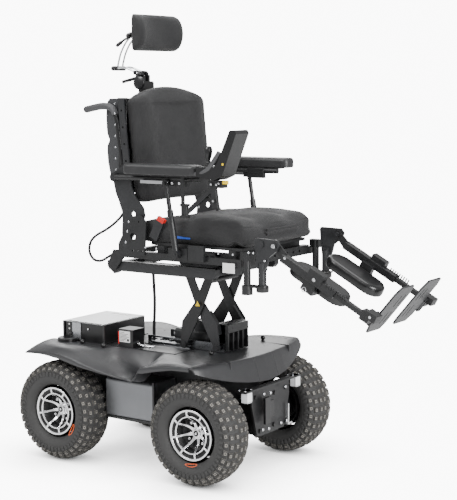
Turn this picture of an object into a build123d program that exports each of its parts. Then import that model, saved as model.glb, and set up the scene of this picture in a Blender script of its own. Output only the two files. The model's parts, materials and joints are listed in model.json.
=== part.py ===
from build123d import *
import math
import os

# Outdoor power wheelchair with a seat lift, tilt, recline and elevating legrests.
# Millimetres, +X forward, +Y to the user's left, +Z up.  While building, X = 0 is midway
# between the axles; every piece is moved at export so that X = 0 is mid-length.

os.makedirs("parts", exist_ok=True)

# ---- driving dimensions ----
WHEELBASE = 632.0
TRACK = 546.0
TYRE_R = 185.0
TYRE_W = 140.0
RIM_R = 84.0
FLANGE_R = 91.0
AXLE_R = 12.0
RUN = 0.05            # radial clearance of a running fit
GAP = 0.5             # clearance between pieces that only pass each other

CHASSIS_HALF_W = 125.0
CHASSIS_BOTTOM = 150.0
DECK_Z = 430.0        # top of the steel deck
COVER_TOP = 428.0
COVER_WALL = 4.0
STEER_Y = 170.0       # kingpin distance from the centre plane
STEER_ARM = 64.0

LIFT_X = 260.0        # the lift's fixed front pivots stand one above the other
LIFT_LOW_Z = 447.0
LIFT_HIGH_Z = 751.0
LIFT_SPREAD = 140.0   # how far behind them the sliding ends are at full height
PIN_R = 8.0
ARM_A_Y = 92.0        # inner face of the outer arms
ARM_B_Y = 84.0        # inner face of the inner arms
LIFT_PLATE = 6.0

RAIL_Y = 205.0        # inner face of the seat rails
RAIL_W = 25.0
SEAT_RAIL_Z = 772.0
SUB_RAIL_Z = 715.0
TILT_X = -120.0
TILT_Z = 735.0
RECLINE_X = -37.0
RECLINE_Z = 815.0
BACK_PLATE_Y = 222.0
BACK_H = 530.0
BACK_LEAN = 5.5       # degrees
CANE_FORWARD = 36.0   # from the back's line to the side uprights

ARM_PIVOT_X = -77.0
ARM_PIVOT_Z = 1062.0
BUNDLE_X = -96.0      # cable bundle between the seat and the deck
POST_X = 212.0        # foot of the armrest post
POST_Z = 803.0
POST_Y = 256.0
ARM_Y = 240.0

LEG_PIVOT_X = 595.0
LEG_PIVOT_Z = 852.0
LEG_Y = 209.0
LEG_DROP = 28.2       # degrees below level
SWING_X = 541.0

AX_F = WHEELBASE / 2
HALF_TRACK = TRACK / 2

pieces = {}


# ---- shared building functions ----
def block(x0, x1, y0, y1, z0, z1, mode=Mode.ADD):
    """A box between two corners."""
    with Locations(((x0 + x1) / 2, (y0 + y1) / 2, (z0 + z1) / 2)):
        Box(abs(x1 - x0), abs(y1 - y0), abs(z1 - z0), mode=mode)


def pin(x, z, radius, y0, y1, mode=Mode.ADD):
    """A cylinder that lies across the chair."""
    with Locations((x, (y0 + y1) / 2, z)):
        Cylinder(radius, abs(y1 - y0), rotation=(90, 0, 0), mode=mode)


def post(x, y, radius, z0, z1, mode=Mode.ADD):
    """A cylinder that stands upright."""
    with Locations((x, y, (z0 + z1) / 2)):
        Cylinder(radius, abs(z1 - z0), mode=mode)


def side_plate(points, y0, y1, mode=Mode.ADD, corner=0.0):
    """A plate with an X and Z outline between two Y positions."""
    low, high = min(y0, y1), max(y0, y1)
    with BuildSketch(Plane.XZ.offset(-high)) as outline:
        with BuildLine():
            Polyline(*points, close=True)
        make_face()
        if corner > 0:
            fillet(outline.vertices(), corner)
    extrude(outline.sketch, amount=high - low, mode=mode)


def bar(p, q, radius, mode=Mode.ADD):
    """A round bar between two points."""
    run = Vector(*q) - Vector(*p)
    with BuildSketch(Plane(origin=p, z_dir=run)) as section:
        Circle(radius)
    extrude(section.sketch, amount=run.length, mode=mode)


def square_bar(p, q, width, height, mode=Mode.ADD, corner=1.5):
    """A square bar between two points, its width across the chair."""
    run = Vector(*q) - Vector(*p)
    with BuildSketch(Plane(origin=p, x_dir=(0, 1, 0), z_dir=run)) as section:
        RectangleRounded(width, height, corner)
    extrude(section.sketch, amount=run.length, mode=mode)


def keep(part, label):
    """Store a finished piece under its name."""
    pieces[label] = part


def keep_pair(part, label):
    """Store a right-hand piece and its mirror image for the left."""
    pieces[label + "_right"] = part
    pieces[label + "_left"] = mirror(part, about=Plane.XZ)


# ---- wheels ----
def build_tyre():
    """A fully round outdoor tyre, its axis on Y."""
    half = TYRE_W / 2
    shoulder = TYRE_R - 17
    with BuildPart() as tyre:
        with BuildSketch(Plane.YZ):
            with BuildLine():
                Polyline((-56, FLANGE_R + 4), (-46, FLANGE_R + 1), (-46, RIM_R + GAP),
                         (46, RIM_R + GAP), (46, FLANGE_R + 1), (56, FLANGE_R + 4))
                ThreePointArc((56, FLANGE_R + 4), (half, TYRE_R - 47), (50, shoulder))
                ThreePointArc((50, shoulder), (0, TYRE_R), (-50, shoulder))
                ThreePointArc((-50, shoulder), (-half, TYRE_R - 47), (-56, FLANGE_R + 4))
            make_face()
        revolve(axis=Axis.Y)
    return tyre.part


def build_rim():
    """A deep alloy rim whose dish opens towards +Y."""
    bore = AXLE_R + RUN
    inner = RIM_R - 4.5
    with BuildPart() as rim:
        with BuildSketch(Plane.YZ):
            with BuildLine():
                Polyline((-50.5, FLANGE_R), (-47.5, FLANGE_R), (-47.5, RIM_R), (47.5, RIM_R),
                         (47.5, FLANGE_R), (50.5, FLANGE_R), (50.5, inner), (-50.5, inner), close=True)
            make_face()
            with BuildLine():
                Polyline((-12, bore), (2, bore), (2, 36), (40, inner + 1), (29, inner + 1),
                         (-12, 40), close=True)
            make_face()
        revolve(axis=Axis.Y)
        with BuildSketch(Plane.XZ):
            with PolarLocations(60, 8):
                RectangleRounded(27, 25, 6)
        extrude(amount=60, both=True, mode=Mode.SUBTRACT)
        with BuildSketch(Plane.XZ):
            with PolarLocations(29, 4, start_angle=45):
                Circle(4)
        extrude(amount=60, both=True, mode=Mode.SUBTRACT)
    return rim.part


tyre = build_tyre()
rim = build_rim()
for end, x in (("front", AX_F), ("rear", -AX_F)):
    keep_pair(Pos(x, -HALF_TRACK, TYRE_R) * tyre, "tyre_" + end)
    keep_pair(Pos(x, -HALF_TRACK, TYRE_R) * (Rot(0, 0, 180) * rim), "rim_" + end)

# ---- chassis and what it carries ----
HUB_FACE = HALF_TRACK - 12 - 3

with BuildPart() as chassis:
    block(-330, 300, -CHASSIS_HALF_W, CHASSIS_HALF_W, CHASSIS_BOTTOM, DECK_Z - 6)
    block(-326, 296, -121, 121, CHASSIS_BOTTOM + 4, DECK_Z, mode=Mode.SUBTRACT)
    with Locations((0, 0, CHASSIS_BOTTOM)):
        with GridLocations(200, 160, 2, 2):
            Cylinder(5.25, 20, mode=Mode.SUBTRACT)
keep(chassis.part, "chassis")

with BuildPart() as batteries:
    with Locations((BUNDLE_X - 122, 0, 240), (BUNDLE_X + 122, 0, 240)):
        Box(210, 200, 160)
    fillet(batteries.edges().filter_by(Axis.Z), 6)
keep(batteries.part, "batteries")

with BuildPart() as battery_covers:
    block(-125, 100, -250, -CHASSIS_HALF_W, 178, 326)
    fillet(battery_covers.edges().filter_by(Axis.X).sort_by(Axis.Y)[:2], 14)
    block(-121, 96, -246, -CHASSIS_HALF_W, 182, 322, mode=Mode.SUBTRACT)
    mirror(about=Plane.XZ)
keep(battery_covers.part, "battery_covers")

with BuildPart() as rear_motors:
    pin(-AX_F, TYRE_R, 52, -HUB_FACE, -CHASSIS_HALF_W)
    pin(-AX_F, TYRE_R, 64, -185, -140)
    pin(-AX_F, TYRE_R, AXLE_R, -HALF_TRACK, -HUB_FACE + 2)
    mirror(about=Plane.XZ)
keep(rear_motors.part, "rear_motors")

with BuildPart() as deck_plate:
    block(-388, 148, -186, 186, DECK_Z - 6, DECK_Z)
    with Locations((-260, 0, DECK_Z)):
        with GridLocations(180, 320, 4, 2):
            Cylinder(4, 20, mode=Mode.SUBTRACT)
    with Locations((BUNDLE_X, 0, DECK_Z)):
        Cylinder(16, 20, mode=Mode.SUBTRACT)
keep(deck_plate.part, "deck_plate")

# The cover: wings that dip between the wheels, a flat top with a window, a bowed front.
NOSE_X = 433.0
CORNER_X = 369.0
WING_Y = 340.0
WALL_Y = 212.0


def wing_band():
    """Outline of the wing sheet, its top line and the same line one wall lower."""
    top = [(-468, 394), (-425, 416), (-360, 424), (-150, 424), (-75, 403), (10, 362),
           (66, 347), (90, 347), (112, 372), (160, 405), (225, 423), (372, COVER_TOP)]
    low = [(x, z - COVER_WALL) for x, z in reversed(top)]
    return top + low


with BuildPart() as body_cover:
    side_plate(wing_band(), -WING_Y, -WALL_Y)
    side_plate([(-395, COVER_TOP), (-395, COVER_TOP - 14), (-150, COVER_TOP - 14), (-75, 397),
                (66, 342), (90, 342), (112, 368), (160, 400), (225, 410), (NOSE_X, 410),
                (NOSE_X, COVER_TOP)], -WALL_Y - COVER_WALL, -WALL_Y)
    mirror(about=Plane.XZ)
    block(-395, NOSE_X, -WALL_Y, WALL_Y, COVER_TOP - COVER_WALL, COVER_TOP)
    block(-390, 150, -188, 188, 400, 450, mode=Mode.SUBTRACT)
    with BuildSketch(Plane.XY.offset(330)) as plan:
        with BuildLine():
            ThreePointArc((CORNER_X, -WING_Y + 18), (NOSE_X, 0), (CORNER_X, WING_Y - 18))
            Polyline((CORNER_X, WING_Y - 18), (CORNER_X - 30, WING_Y), (-480, WING_Y),
                     (-480, -WING_Y), (CORNER_X - 30, -WING_Y), (CORNER_X, -WING_Y + 18))
        make_face()
    extrude(plan.sketch, amount=200, mode=Mode.INTERSECT)
    with BuildSketch(Plane.XY.offset(330)) as face:
        with BuildLine():
            ThreePointArc((CORNER_X, -WING_Y + 18), (NOSE_X, 0), (CORNER_X, WING_Y - 18))
            Line((CORNER_X, WING_Y - 18), (CORNER_X - 6, WING_Y - 18))
            ThreePointArc((CORNER_X - 6, WING_Y - 18), (NOSE_X - 5, 0), (CORNER_X - 6, -WING_Y + 18))
            Line((CORNER_X - 6, -WING_Y + 18), (CORNER_X, -WING_Y + 18))
        make_face()
    extrude(face.sketch, amount=COVER_TOP - 330)
    with BuildSketch(Plane.YZ.offset(CORNER_X - 20)) as under:
        with BuildLine():
            Polyline((-350, 300), (-350, 396), (-318, 394), (-160, 350), (0, 333), (160, 350),
                     (318, 394), (350, 396), (350, 300), close=True)
        make_face()
    extrude(under.sketch, amount=120, mode=Mode.SUBTRACT)
keep(body_cover.part, "body_cover")

with BuildPart() as control_modules:
    block(-384, -190, -182, 66, DECK_Z, 500)
    fillet(control_modules.edges().filter_by(Axis.Z), 8)
    with Locations((-287, -58, 500)):
        with GridLocations(0, 30, 1, 7):
            Box(160, 12, 12, mode=Mode.SUBTRACT)
    block(-191, -178, -182, 66, DECK_Z, DECK_Z + 3)
    block(-116, -49, -184, -118, DECK_Z, 496)
keep(control_modules.part, "control_modules")

# ---- front axle, lamps and steering ----
with BuildPart() as front_axle:
    block(300, 428, -60, 60, 140, 255)
    with BuildSketch(Plane.YZ.offset(428)) as plate:
        with BuildLine():
            Polyline((-88, 146), (88, 146), (122, 262), (122, 326), (-122, 326), (-122, 262), close=True)
        make_face()
        fillet(plate.vertices(), 10)
    extrude(plate.sketch, amount=8)
    block(424, 452, -176, 176, 320, 326)
    for side in (-1, 1):
        for z0 in (112, 250):
            block(301, 333, side * 52, side * 188, z0, z0 + 8)
            post(AX_F, side * STEER_Y, AXLE_R + RUN, z0 - 5, z0 + 13, mode=Mode.SUBTRACT)
        block(301, 333, side * 52, side * 60, 112, 258)
    for y, z in ((-70, 162), (20, 168), (70, 162), (-98, 290), (98, 290), (25, 284)):
        with Locations((438, y, z)):
            Cylinder(8, 6, rotation=(0, 90, 0))
keep(front_axle.part, "front_axle")

with BuildPart() as headlights:
    block(428, 452, -174, -142, 284, 320)
    fillet(headlights.edges().filter_by(Axis.X), 3)
    mirror(about=Plane.XZ)
keep(headlights.part, "headlights")


def build_front_motor():
    """The right-hand hub motor with its kingpin and steering arm."""
    with BuildPart() as motor:
        pin(AX_F, TYRE_R, 50, -HUB_FACE, -148)
        pin(AX_F, TYRE_R, AXLE_R, -HALF_TRACK, -HUB_FACE + 2)
        post(AX_F, -STEER_Y, AXLE_R, 112, 270)
        with BuildSketch(Plane.XY.offset(262)) as lever:
            with Locations((AX_F, -STEER_Y)):
                Circle(18)
            with Locations((AX_F + STEER_ARM, -STEER_Y)):
                Circle(11)
            with BuildLine():
                Polyline((AX_F, -STEER_Y - 14), (AX_F + STEER_ARM, -STEER_Y - 10),
                         (AX_F + STEER_ARM, -STEER_Y + 10), (AX_F, -STEER_Y + 14), close=True)
            make_face()
        extrude(lever.sketch, amount=8)
        post(AX_F + STEER_ARM, -STEER_Y, 5 + RUN, 255, 275, mode=Mode.SUBTRACT)
    return motor.part


keep_pair(build_front_motor(), "front_motor")

with BuildPart() as tie_rod:
    bar((AX_F + STEER_ARM, -STEER_Y, 279), (AX_F + STEER_ARM, STEER_Y, 279), 5)
    post(AX_F + STEER_ARM, -STEER_Y, 5, 262, 279)
    post(AX_F + STEER_ARM, STEER_Y, 4.5, 262, 279)
    with Locations((AX_F + STEER_ARM, -STEER_Y, 279), (AX_F + STEER_ARM, STEER_Y, 279)):
        Cylinder(9, 12)
keep(tie_rod.part, "tie_rod")

# ---- scissor lift ----
SLIDE_X = LIFT_X - LIFT_SPREAD
LIFT_TRAVEL = 165.0
A_FOOT = (SLIDE_X, LIFT_LOW_Z)
A_HEAD = (LIFT_X, LIFT_HIGH_Z)
B_FOOT = (LIFT_X, LIFT_LOW_Z)
B_HEAD = (SLIDE_X, LIFT_HIGH_Z)
MID_X = (SLIDE_X + LIFT_X) / 2
MID_Z = (LIFT_LOW_Z + LIFT_HIGH_Z) / 2


def arm_outline(foot, head, side):
    """Outline of a lift arm: broad near its foot on one side, narrow above the middle."""
    length = math.hypot(head[0] - foot[0], head[1] - foot[1])
    ux = (head[0] - foot[0]) / length
    uz = (head[1] - foot[1]) / length
    shape = [(-11, -9), (-11, 9), (40, 30), (0.23 * length, 42), (0.52 * length, 19),
             (length + 8, 16), (length + 15, 7), (length + 15, -7), (length + 8, -16),
             (0.5 * length, -19), (0.3 * length, -17)]
    return [(foot[0] + ux * s - uz * t * side, foot[1] + uz * s + ux * t * side) for s, t in shape]


def along(foot, head, part, across, side):
    """A point on a lift arm, given as a share of its length and a distance across."""
    length = math.hypot(head[0] - foot[0], head[1] - foot[1])
    ux = (head[0] - foot[0]) / length
    uz = (head[1] - foot[1]) / length
    s = part * length
    return (foot[0] + ux * s - uz * across * side, foot[1] + uz * s + ux * across * side)


with BuildPart() as lift_arm_outer:
    side_plate(arm_outline(A_FOOT, A_HEAD, 1), -ARM_A_Y - LIFT_PLATE, -ARM_A_Y)
    pin(MID_X, MID_Z, 9 + RUN, -ARM_A_Y - 8, -ARM_A_Y + 2, mode=Mode.SUBTRACT)
    pin(A_FOOT[0], A_FOOT[1], PIN_R, -ARM_A_Y - LIFT_PLATE, -64)
    pin(A_FOOT[0], A_FOOT[1], 12, -ARM_A_Y - LIFT_PLATE - 4, -ARM_A_Y - LIFT_PLATE)
    pin(A_HEAD[0], A_HEAD[1], PIN_R, -108, -ARM_A_Y - 1)
    mirror(about=Plane.XZ)
    tube_x, tube_z = along(A_FOOT, A_HEAD, 0.8, 0, 1)
    pin(tube_x, tube_z, 11, -ARM_A_Y - 1, ARM_A_Y + 1)
keep(lift_arm_outer.part, "lift_arm_outer")

with BuildPart() as lift_arm_inner:
    side_plate(arm_outline(B_FOOT, B_HEAD, -1), -ARM_B_Y - LIFT_PLATE, -ARM_B_Y)
    pin(MID_X, MID_Z, 9, -ARM_A_Y - LIFT_PLATE, -ARM_B_Y - 1)
    pin(B_FOOT[0], B_FOOT[1], PIN_R, -ARM_B_Y - 1, -64)
    pin(B_FOOT[0], B_FOOT[1], 12, -ARM_B_Y - LIFT_PLATE - 5, -ARM_B_Y - LIFT_PLATE)
    pin(B_HEAD[0], B_HEAD[1], PIN_R, -108, -ARM_B_Y - 1)
    mirror(about=Plane.XZ)
    side_plate([along(B_FOOT, B_HEAD, 0.12, 27, -1), along(B_FOOT, B_HEAD, 0.23, 38, -1),
                along(B_FOOT, B_HEAD, 0.23, 33, -1), along(B_FOOT, B_HEAD, 0.12, 22, -1)],
               -ARM_B_Y - 1, ARM_B_Y + 1)
    side_plate([along(B_FOOT, B_HEAD, 0.23, 38, -1), along(B_FOOT, B_HEAD, 0.4, 25, -1),
                along(B_FOOT, B_HEAD, 0.4, 20, -1), along(B_FOOT, B_HEAD, 0.23, 33, -1)],
               -ARM_B_Y - 1, -ARM_B_Y + 16)
    side_plate([along(B_FOOT, B_HEAD, 0.23, 38, -1), along(B_FOOT, B_HEAD, 0.4, 25, -1),
                along(B_FOOT, B_HEAD, 0.4, 20, -1), along(B_FOOT, B_HEAD, 0.23, 33, -1)],
               ARM_B_Y - 16, ARM_B_Y + 1)
keep(lift_arm_inner.part, "lift_arm_inner")

SLOT_H = PIN_R + 0.1


def slot_y(x0, x1, z, half, y0, y1):
    """A long slot through a wall that faces sideways, with round ends."""
    block(x0, x1, y0, y1, z - half, z + half, mode=Mode.SUBTRACT)
    pin(x0, z, half, y0, y1, mode=Mode.SUBTRACT)
    pin(x1, z, half, y0, y1, mode=Mode.SUBTRACT)


with BuildPart() as lift_base:
    block(SLIDE_X - LIFT_TRAVEL - 22, LIFT_X + 22, -72, 72, DECK_Z, DECK_Z + 4)
    block(SLIDE_X - LIFT_TRAVEL - 22, LIFT_X + 22, -72, -66, DECK_Z, DECK_Z + 31)
    block(SLIDE_X - LIFT_TRAVEL - 22, LIFT_X + 22, 66, 72, DECK_Z, DECK_Z + 31)
    slot_y(SLIDE_X - LIFT_TRAVEL, SLIDE_X, LIFT_LOW_Z, SLOT_H, -74, -60)
    slot_y(SLIDE_X - LIFT_TRAVEL, SLIDE_X, LIFT_LOW_Z, SLOT_H, 60, 74)
    pin(LIFT_X, LIFT_LOW_Z, PIN_R + RUN, -80, 80, mode=Mode.SUBTRACT)
keep(lift_base.part, "lift_base")

with BuildPart() as lift_actuator:
    block(40, 196, -46, 46, DECK_Z + 4, DECK_Z + 62)
    fillet(lift_actuator.edges().filter_by(Axis.X), 12)
    pin(150, 505, 26, -40, 40)
    bar((60, 0, 482), (140, 0, 520), 17)
keep(lift_actuator.part, "lift_actuator")

# ---- seat sub-frame that the lift carries ----
SUB_Y = 175.0
with BuildPart() as seat_subframe:
    side_plate([(-150, SUB_RAIL_Z + 37), (-150, SUB_RAIL_Z + 14), (-118, SUB_RAIL_Z - 12), (-96, SUB_RAIL_Z),
                (330, SUB_RAIL_Z), (341, SUB_RAIL_Z + 12), (341, SUB_RAIL_Z + 37)],
               -SUB_Y - RAIL_W, -SUB_Y, corner=4)
    pin(TILT_X, TILT_Z, PIN_R + RUN, -SUB_Y - 30, -SUB_Y + 5, mode=Mode.SUBTRACT)
    plate_back = SLIDE_X - LIFT_TRAVEL - 30
    block(plate_back, LIFT_X + 24, -107, -101, LIFT_HIGH_Z - 18, LIFT_HIGH_Z + 16)
    slot_y(SLIDE_X - LIFT_TRAVEL, SLIDE_X, LIFT_HIGH_Z, SLOT_H, -112, -98)
    pin(LIFT_X, LIFT_HIGH_Z, PIN_R + RUN, -112, -98, mode=Mode.SUBTRACT)
    mirror(about=Plane.XZ)
    block(LIFT_X + 24, LIFT_X + 50, -SUB_Y - 1, SUB_Y + 1, SUB_RAIL_Z + 3, SUB_RAIL_Z + 31)
    block(plate_back - 20, plate_back, -SUB_Y - 1, SUB_Y + 1, SUB_RAIL_Z + 12, SUB_RAIL_Z + 37)
    block(LIFT_X + 24, LIFT_X + 26, -107, -101, SUB_RAIL_Z + 10, LIFT_HIGH_Z + 16)
    block(LIFT_X + 20, LIFT_X + 54, -84, -32, SUB_RAIL_Z, SUB_RAIL_Z + 34, mode=Mode.SUBTRACT)
    block(-104, -84, -30, 30, SUB_RAIL_Z + 12, SUB_RAIL_Z + 37)
    post(BUNDLE_X, 0, 6 + GAP, SUB_RAIL_Z, SUB_RAIL_Z + 60, mode=Mode.SUBTRACT)
keep(seat_subframe.part, "seat_subframe")

with BuildPart() as tilt_actuator:
    bar((330, -58, 728), (150, -58, 742), 17)
    bar((150, -58, 742), (90, -58, 746.7), 8)
    block(312, 344, -78, -40, 716, 752)
    block(312, 350, -102, -78, 722, 746)
keep(tilt_actuator.part, "tilt_actuator")

# ---- seat frame that tilts on the sub-frame ----
FRONT_X = 470.0
with BuildPart() as seat_frame:
    block(-80, FRONT_X, -RAIL_Y - RAIL_W, -RAIL_Y, SEAT_RAIL_Z, SEAT_RAIL_Z + 26)
    side_plate([(-60, SEAT_RAIL_Z + 22), (-60, SEAT_RAIL_Z), (-104, TILT_Z - 14), (-134, TILT_Z - 14),
                (-138, TILT_Z + 8), (-112, SEAT_RAIL_Z + 22)], -RAIL_Y - 6, -RAIL_Y)
    pin(TILT_X, TILT_Z, PIN_R, -RAIL_Y - 1, -SUB_Y)
    side_plate([(-66, 800), (-66, 822), (-52, 846), (6, 925), (42, 930), (64, 904), (54, 786),
                (20, 780), (-50, 780)], -236, -230, corner=5)
    pin(RECLINE_X, RECLINE_Z, PIN_R + RUN, -240, -226, mode=Mode.SUBTRACT)
    pin(2, 852, 12, -240, -226, mode=Mode.SUBTRACT)
    for x, z in ((30, 905), (24, 800), (44, 800), (0, 800)):
        pin(x, z, 3.2, -240, -229, mode=Mode.SUBTRACT)
    block(168, 252, -244, -230, 781, 822)
    pin(POST_X, POST_Z, 6, -269, -243)
    block(254, 322, -244, -230, 781, 836)
    block(FRONT_X - 2, 506, -232, -212, 796, 826)
    post(489, -222, 12.5, 712, 826)
    post(489, -222, 19, 680, 712)
    block(476, 556, -232, -196, 706, 712)
    post(SWING_X, -207, 8, 708, 762)
    mirror(about=Plane.XZ)
    block(FRONT_X - 26, FRONT_X, -RAIL_Y - 1, RAIL_Y + 1, SEAT_RAIL_Z, SEAT_RAIL_Z + 34)
    block(-78, -58, -RAIL_Y - 1, RAIL_Y + 1, SEAT_RAIL_Z, SEAT_RAIL_Z + 20)
    block(60, 455, -RAIL_Y + 3, RAIL_Y - 3, 822, 832)
    for x in (90, 400):
        block(x, x + 30, -RAIL_Y - 1, RAIL_Y + 1, 786, 822)
    with Locations((FRONT_X - 13, 0, 789)):
        with GridLocations(0, 40, 1, 8):
            Cylinder(5, 60, rotation=(0, 90, 0), mode=Mode.SUBTRACT)
keep(seat_frame.part, "seat_frame")

with BuildPart() as seat_cushion:
    with BuildSketch(Plane.XZ.offset(-210)) as profile:
        with BuildLine():
            Polyline((24, 833), (444, 833), (486, 842), (478, 905), (440, 924), (250, 918),
                     (24, 908), close=True)
        make_face()
        fillet(profile.vertices(), 9)
    extrude(profile.sketch, amount=420)
keep(seat_cushion.part, "seat_cushion")

with BuildPart() as belt_buckle:
    block(86, 122, -229, -216, 846, 905)
    fillet(belt_buckle.edges().filter_by(Axis.Y), 4)
    block(92.4, 115.6, -227.6, -217.4, 890, 906, mode=Mode.SUBTRACT)
    block(96, 112, -225, -219, 806, 850)
keep(belt_buckle.part, "belt_buckle")

with BuildPart() as belt_button:
    block(92.8, 115.2, -227.2, -217.8, 897, 912)
    fillet(belt_button.edges().filter_by(Axis.Z), 3)
keep(belt_button.part, "belt_button")

# ---- back ----
tan_lean = math.tan(math.radians(BACK_LEAN))
BACK_TOP_Z = RECLINE_Z + BACK_H


def back_x(z):
    """X of the back's upright line at a height."""
    return RECLINE_X - (z - RECLINE_Z) * tan_lean


def cane_x(z):
    """X of the side uprights, which stand in front of that line."""
    return back_x(z) + CANE_FORWARD


with BuildPart() as back_frame:
    side_plate([(RECLINE_X - 10, 804), (RECLINE_X + 10, 804), (RECLINE_X + 18, 832), (22, 878), (52, 925),
                (46, 955), (8, 996), (cane_x(1030) + 14, 1030), (cane_x(BACK_TOP_Z) + 13, BACK_TOP_Z),
                (cane_x(BACK_TOP_Z) - 13, BACK_TOP_Z), (cane_x(1105) - 14, 1105),
                (ARM_PIVOT_X - 14, ARM_PIVOT_Z + 14), (ARM_PIVOT_X - 14, ARM_PIVOT_Z - 14),
                (ARM_PIVOT_X - 4, 1004), (ARM_PIVOT_X + 8, 980), (-50, 930), (RECLINE_X - 18, 860)],
               -BACK_PLATE_Y - 6, -BACK_PLATE_Y)
    pin(RECLINE_X, RECLINE_Z, PIN_R, -236, -BACK_PLATE_Y - 1)
    pin(ARM_PIVOT_X, ARM_PIVOT_Z, PIN_R, -ARM_Y - 8, -BACK_PLATE_Y - 1)
    for z in (1120, 1180, 1240, 1300):
        pin(cane_x(z), z, 4, -BACK_PLATE_Y - 8, -BACK_PLATE_Y + 2, mode=Mode.SUBTRACT)
    pin(0, 930, 10, -BACK_PLATE_Y - 8, -BACK_PLATE_Y + 2, mode=Mode.SUBTRACT)
    mirror(about=Plane.XZ)
    for z in (985, 1150, 1325):
        block(cane_x(z) - 12, cane_x(z) - 1, -BACK_PLATE_Y - 1, BACK_PLATE_Y + 1, z - 12, z + 12)
keep(back_frame.part, "back_frame")

LEAN = Location((RECLINE_X, 0, RECLINE_Z), (0, -BACK_LEAN, 0))

with BuildPart() as back_shell:
    with BuildSketch(Plane.XY.offset(188)) as shell_plan:
        with BuildLine():
            Polyline((18, -204), (-52, -200), (-118, -150), (-138, -60), (-138, 60), (-118, 150),
                     (-52, 200), (18, 204), (18, 198), (-50, 194), (-113, 146), (-132, 58),
                     (-132, -58), (-113, -146), (-50, -194), (18, -198), close=True)
        make_face()
        fillet(shell_plan.vertices().filter_by(lambda v: v.X < -40), 5)
    extrude(shell_plan.sketch, amount=340)
keep(LEAN * back_shell.part, "back_shell")

with BuildPart() as back_cushion:
    with BuildSketch(Plane.YZ.offset(38)) as pad_face:
        with BuildLine():
            Polyline((-206, 150), (206, 150), (206, 520))
            ThreePointArc((206, 520), (0, 566), (-206, 520))
            Line((-206, 520), (-206, 150))
        make_face()
        fillet(pad_face.vertices(), 22)
    extrude(pad_face.sketch, amount=52)
    fillet(back_cushion.faces().sort_by(Axis.X)[-1].edges(), 18)
keep(LEAN * back_cushion.part, "back_cushion")

HANDLE_X = -104.0
with BuildPart() as push_handles:
    post(HANDLE_X, -213, 10, 1230, 1318)
    bar((HANDLE_X, -213, 1312.5), (-226, -213, 1304), 11)
    bar((-140, -213, 1310), (-230, -213, 1303.7), 15)
    block(HANDLE_X, cane_x(1250) + 4, -221.5, -215, 1240, 1264)
    mirror(about=Plane.XZ)
keep(push_handles.part, "push_handles")

# ---- headrest ----
with BuildPart() as headrest_mount:
    block(-122, -108, -38, 38, 1338, 1404)
    fillet(headrest_mount.edges().filter_by(Axis.X), 10)
    pin(-134, 1427, 16, -20, -8)
    pin(-134, 1427, 16, 8, 20)
    block(-142, -112, -20, -8, 1390, 1427)
    block(-142, -112, 8, 20, 1390, 1427)
    pin(-134, 1427, 5 + RUN, -25, 25, mode=Mode.SUBTRACT)
keep(headrest_mount.part, "headrest_mount")

with BuildPart() as headrest_link:
    pin(-134, 1427, 13, -7.5, 7.5)
    pin(-134, 1427, 5, -24, 24)
    bar((-146, 0, 1430), (-229, 0, 1451), 7)
    pin(-241, 1454, 15, -7.5, 7.5)
    pin(-241, 1454, 6 + RUN, -25, 25, mode=Mode.SUBTRACT)
keep(headrest_link.part, "headrest_link")

with BuildPart() as headrest_arm:
    pin(-241, 1454, 15, -20, -8)
    pin(-241, 1454, 15, 8, 20)
    pin(-241, 1454, 6, -20, 20)
    with BuildLine() as arm_line:
        ThreePointArc((-241, 1462), (-238, 1530), (-190, 1572))
    side_plate([(-252, 1464), (-258, 1500), (-246, 1545), (-215, 1572), (-186, 1580), (-184, 1566),
                (-212, 1556), (-236, 1528), (-242, 1498), (-236, 1464)], -20, -8)
    side_plate([(-252, 1464), (-258, 1500), (-246, 1545), (-215, 1572), (-186, 1580), (-184, 1566),
                (-212, 1556), (-236, 1528), (-242, 1498), (-236, 1464)], 8, 20)
    pin(-176, 1572, 13, -20, -8)
    pin(-176, 1572, 13, 8, 20)
    pin(-176, 1572, 5 + RUN, -25, 25, mode=Mode.SUBTRACT)
keep(headrest_arm.part, "headrest_arm")

with BuildPart() as headrest_pad:
    with BuildSketch(Plane.XY.offset(1514)) as pad_plan:
        with BuildLine():
            ThreePointArc((-18, -130), (-52, 0), (-18, 130))
            Line((-18, 130), (-74, 134))
            ThreePointArc((-74, 134), (-112, 0), (-74, -134))
            Line((-74, -134), (-18, -130))
        make_face()
        fillet(pad_plan.vertices(), 20)
    extrude(pad_plan.sketch, amount=132)
    fillet(headrest_pad.edges().group_by(Axis.Z)[-1], 18)
    fillet(headrest_pad.edges().group_by(Axis.Z)[0], 18)
    block(-168, -110, -7.5, 7.5, 1562, 1582)
    pin(-176, 1572, 11, -7.5, 7.5)
    pin(-176, 1572, 5, -21, 21)
keep(headrest_pad.part, "headrest_pad")

# ---- armrests ----
POST_DX = ARM_PIVOT_X - RECLINE_X
POST_DZ = ARM_PIVOT_Z - RECLINE_Z
TOP_X = POST_X + POST_DX
TOP_Z = POST_Z + POST_DZ
PAD_Y0, PAD_Y1 = -300.0, -236.0


def build_arm_frame():
    """The right armrest's frame: pivot eye, tube, pad rail and the post's stub."""
    with BuildPart() as frame:
        pin(ARM_PIVOT_X, ARM_PIVOT_Z, 15, -ARM_Y - 7, -ARM_Y + 7)
        bar((ARM_PIVOT_X, -ARM_Y, ARM_PIVOT_Z), (312, -ARM_Y, 1068), 10)
        pin(ARM_PIVOT_X, ARM_PIVOT_Z, PIN_R + RUN, -ARM_Y - 12, -ARM_Y + 14, mode=Mode.SUBTRACT)
        block(20, 310, -290, -ARM_Y, 1075, 1080)
        for x in (40, 290):
            block(x, x + 20, -ARM_Y - 6, -ARM_Y + 6, 1064, 1076)
        pin(TOP_X, TOP_Z, 5, -270, -ARM_Y)
        block(TOP_X - 12, TOP_X + 12, -ARM_Y - 6, -ARM_Y + 6, TOP_Z - 8, 1066)
    return frame.part


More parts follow.
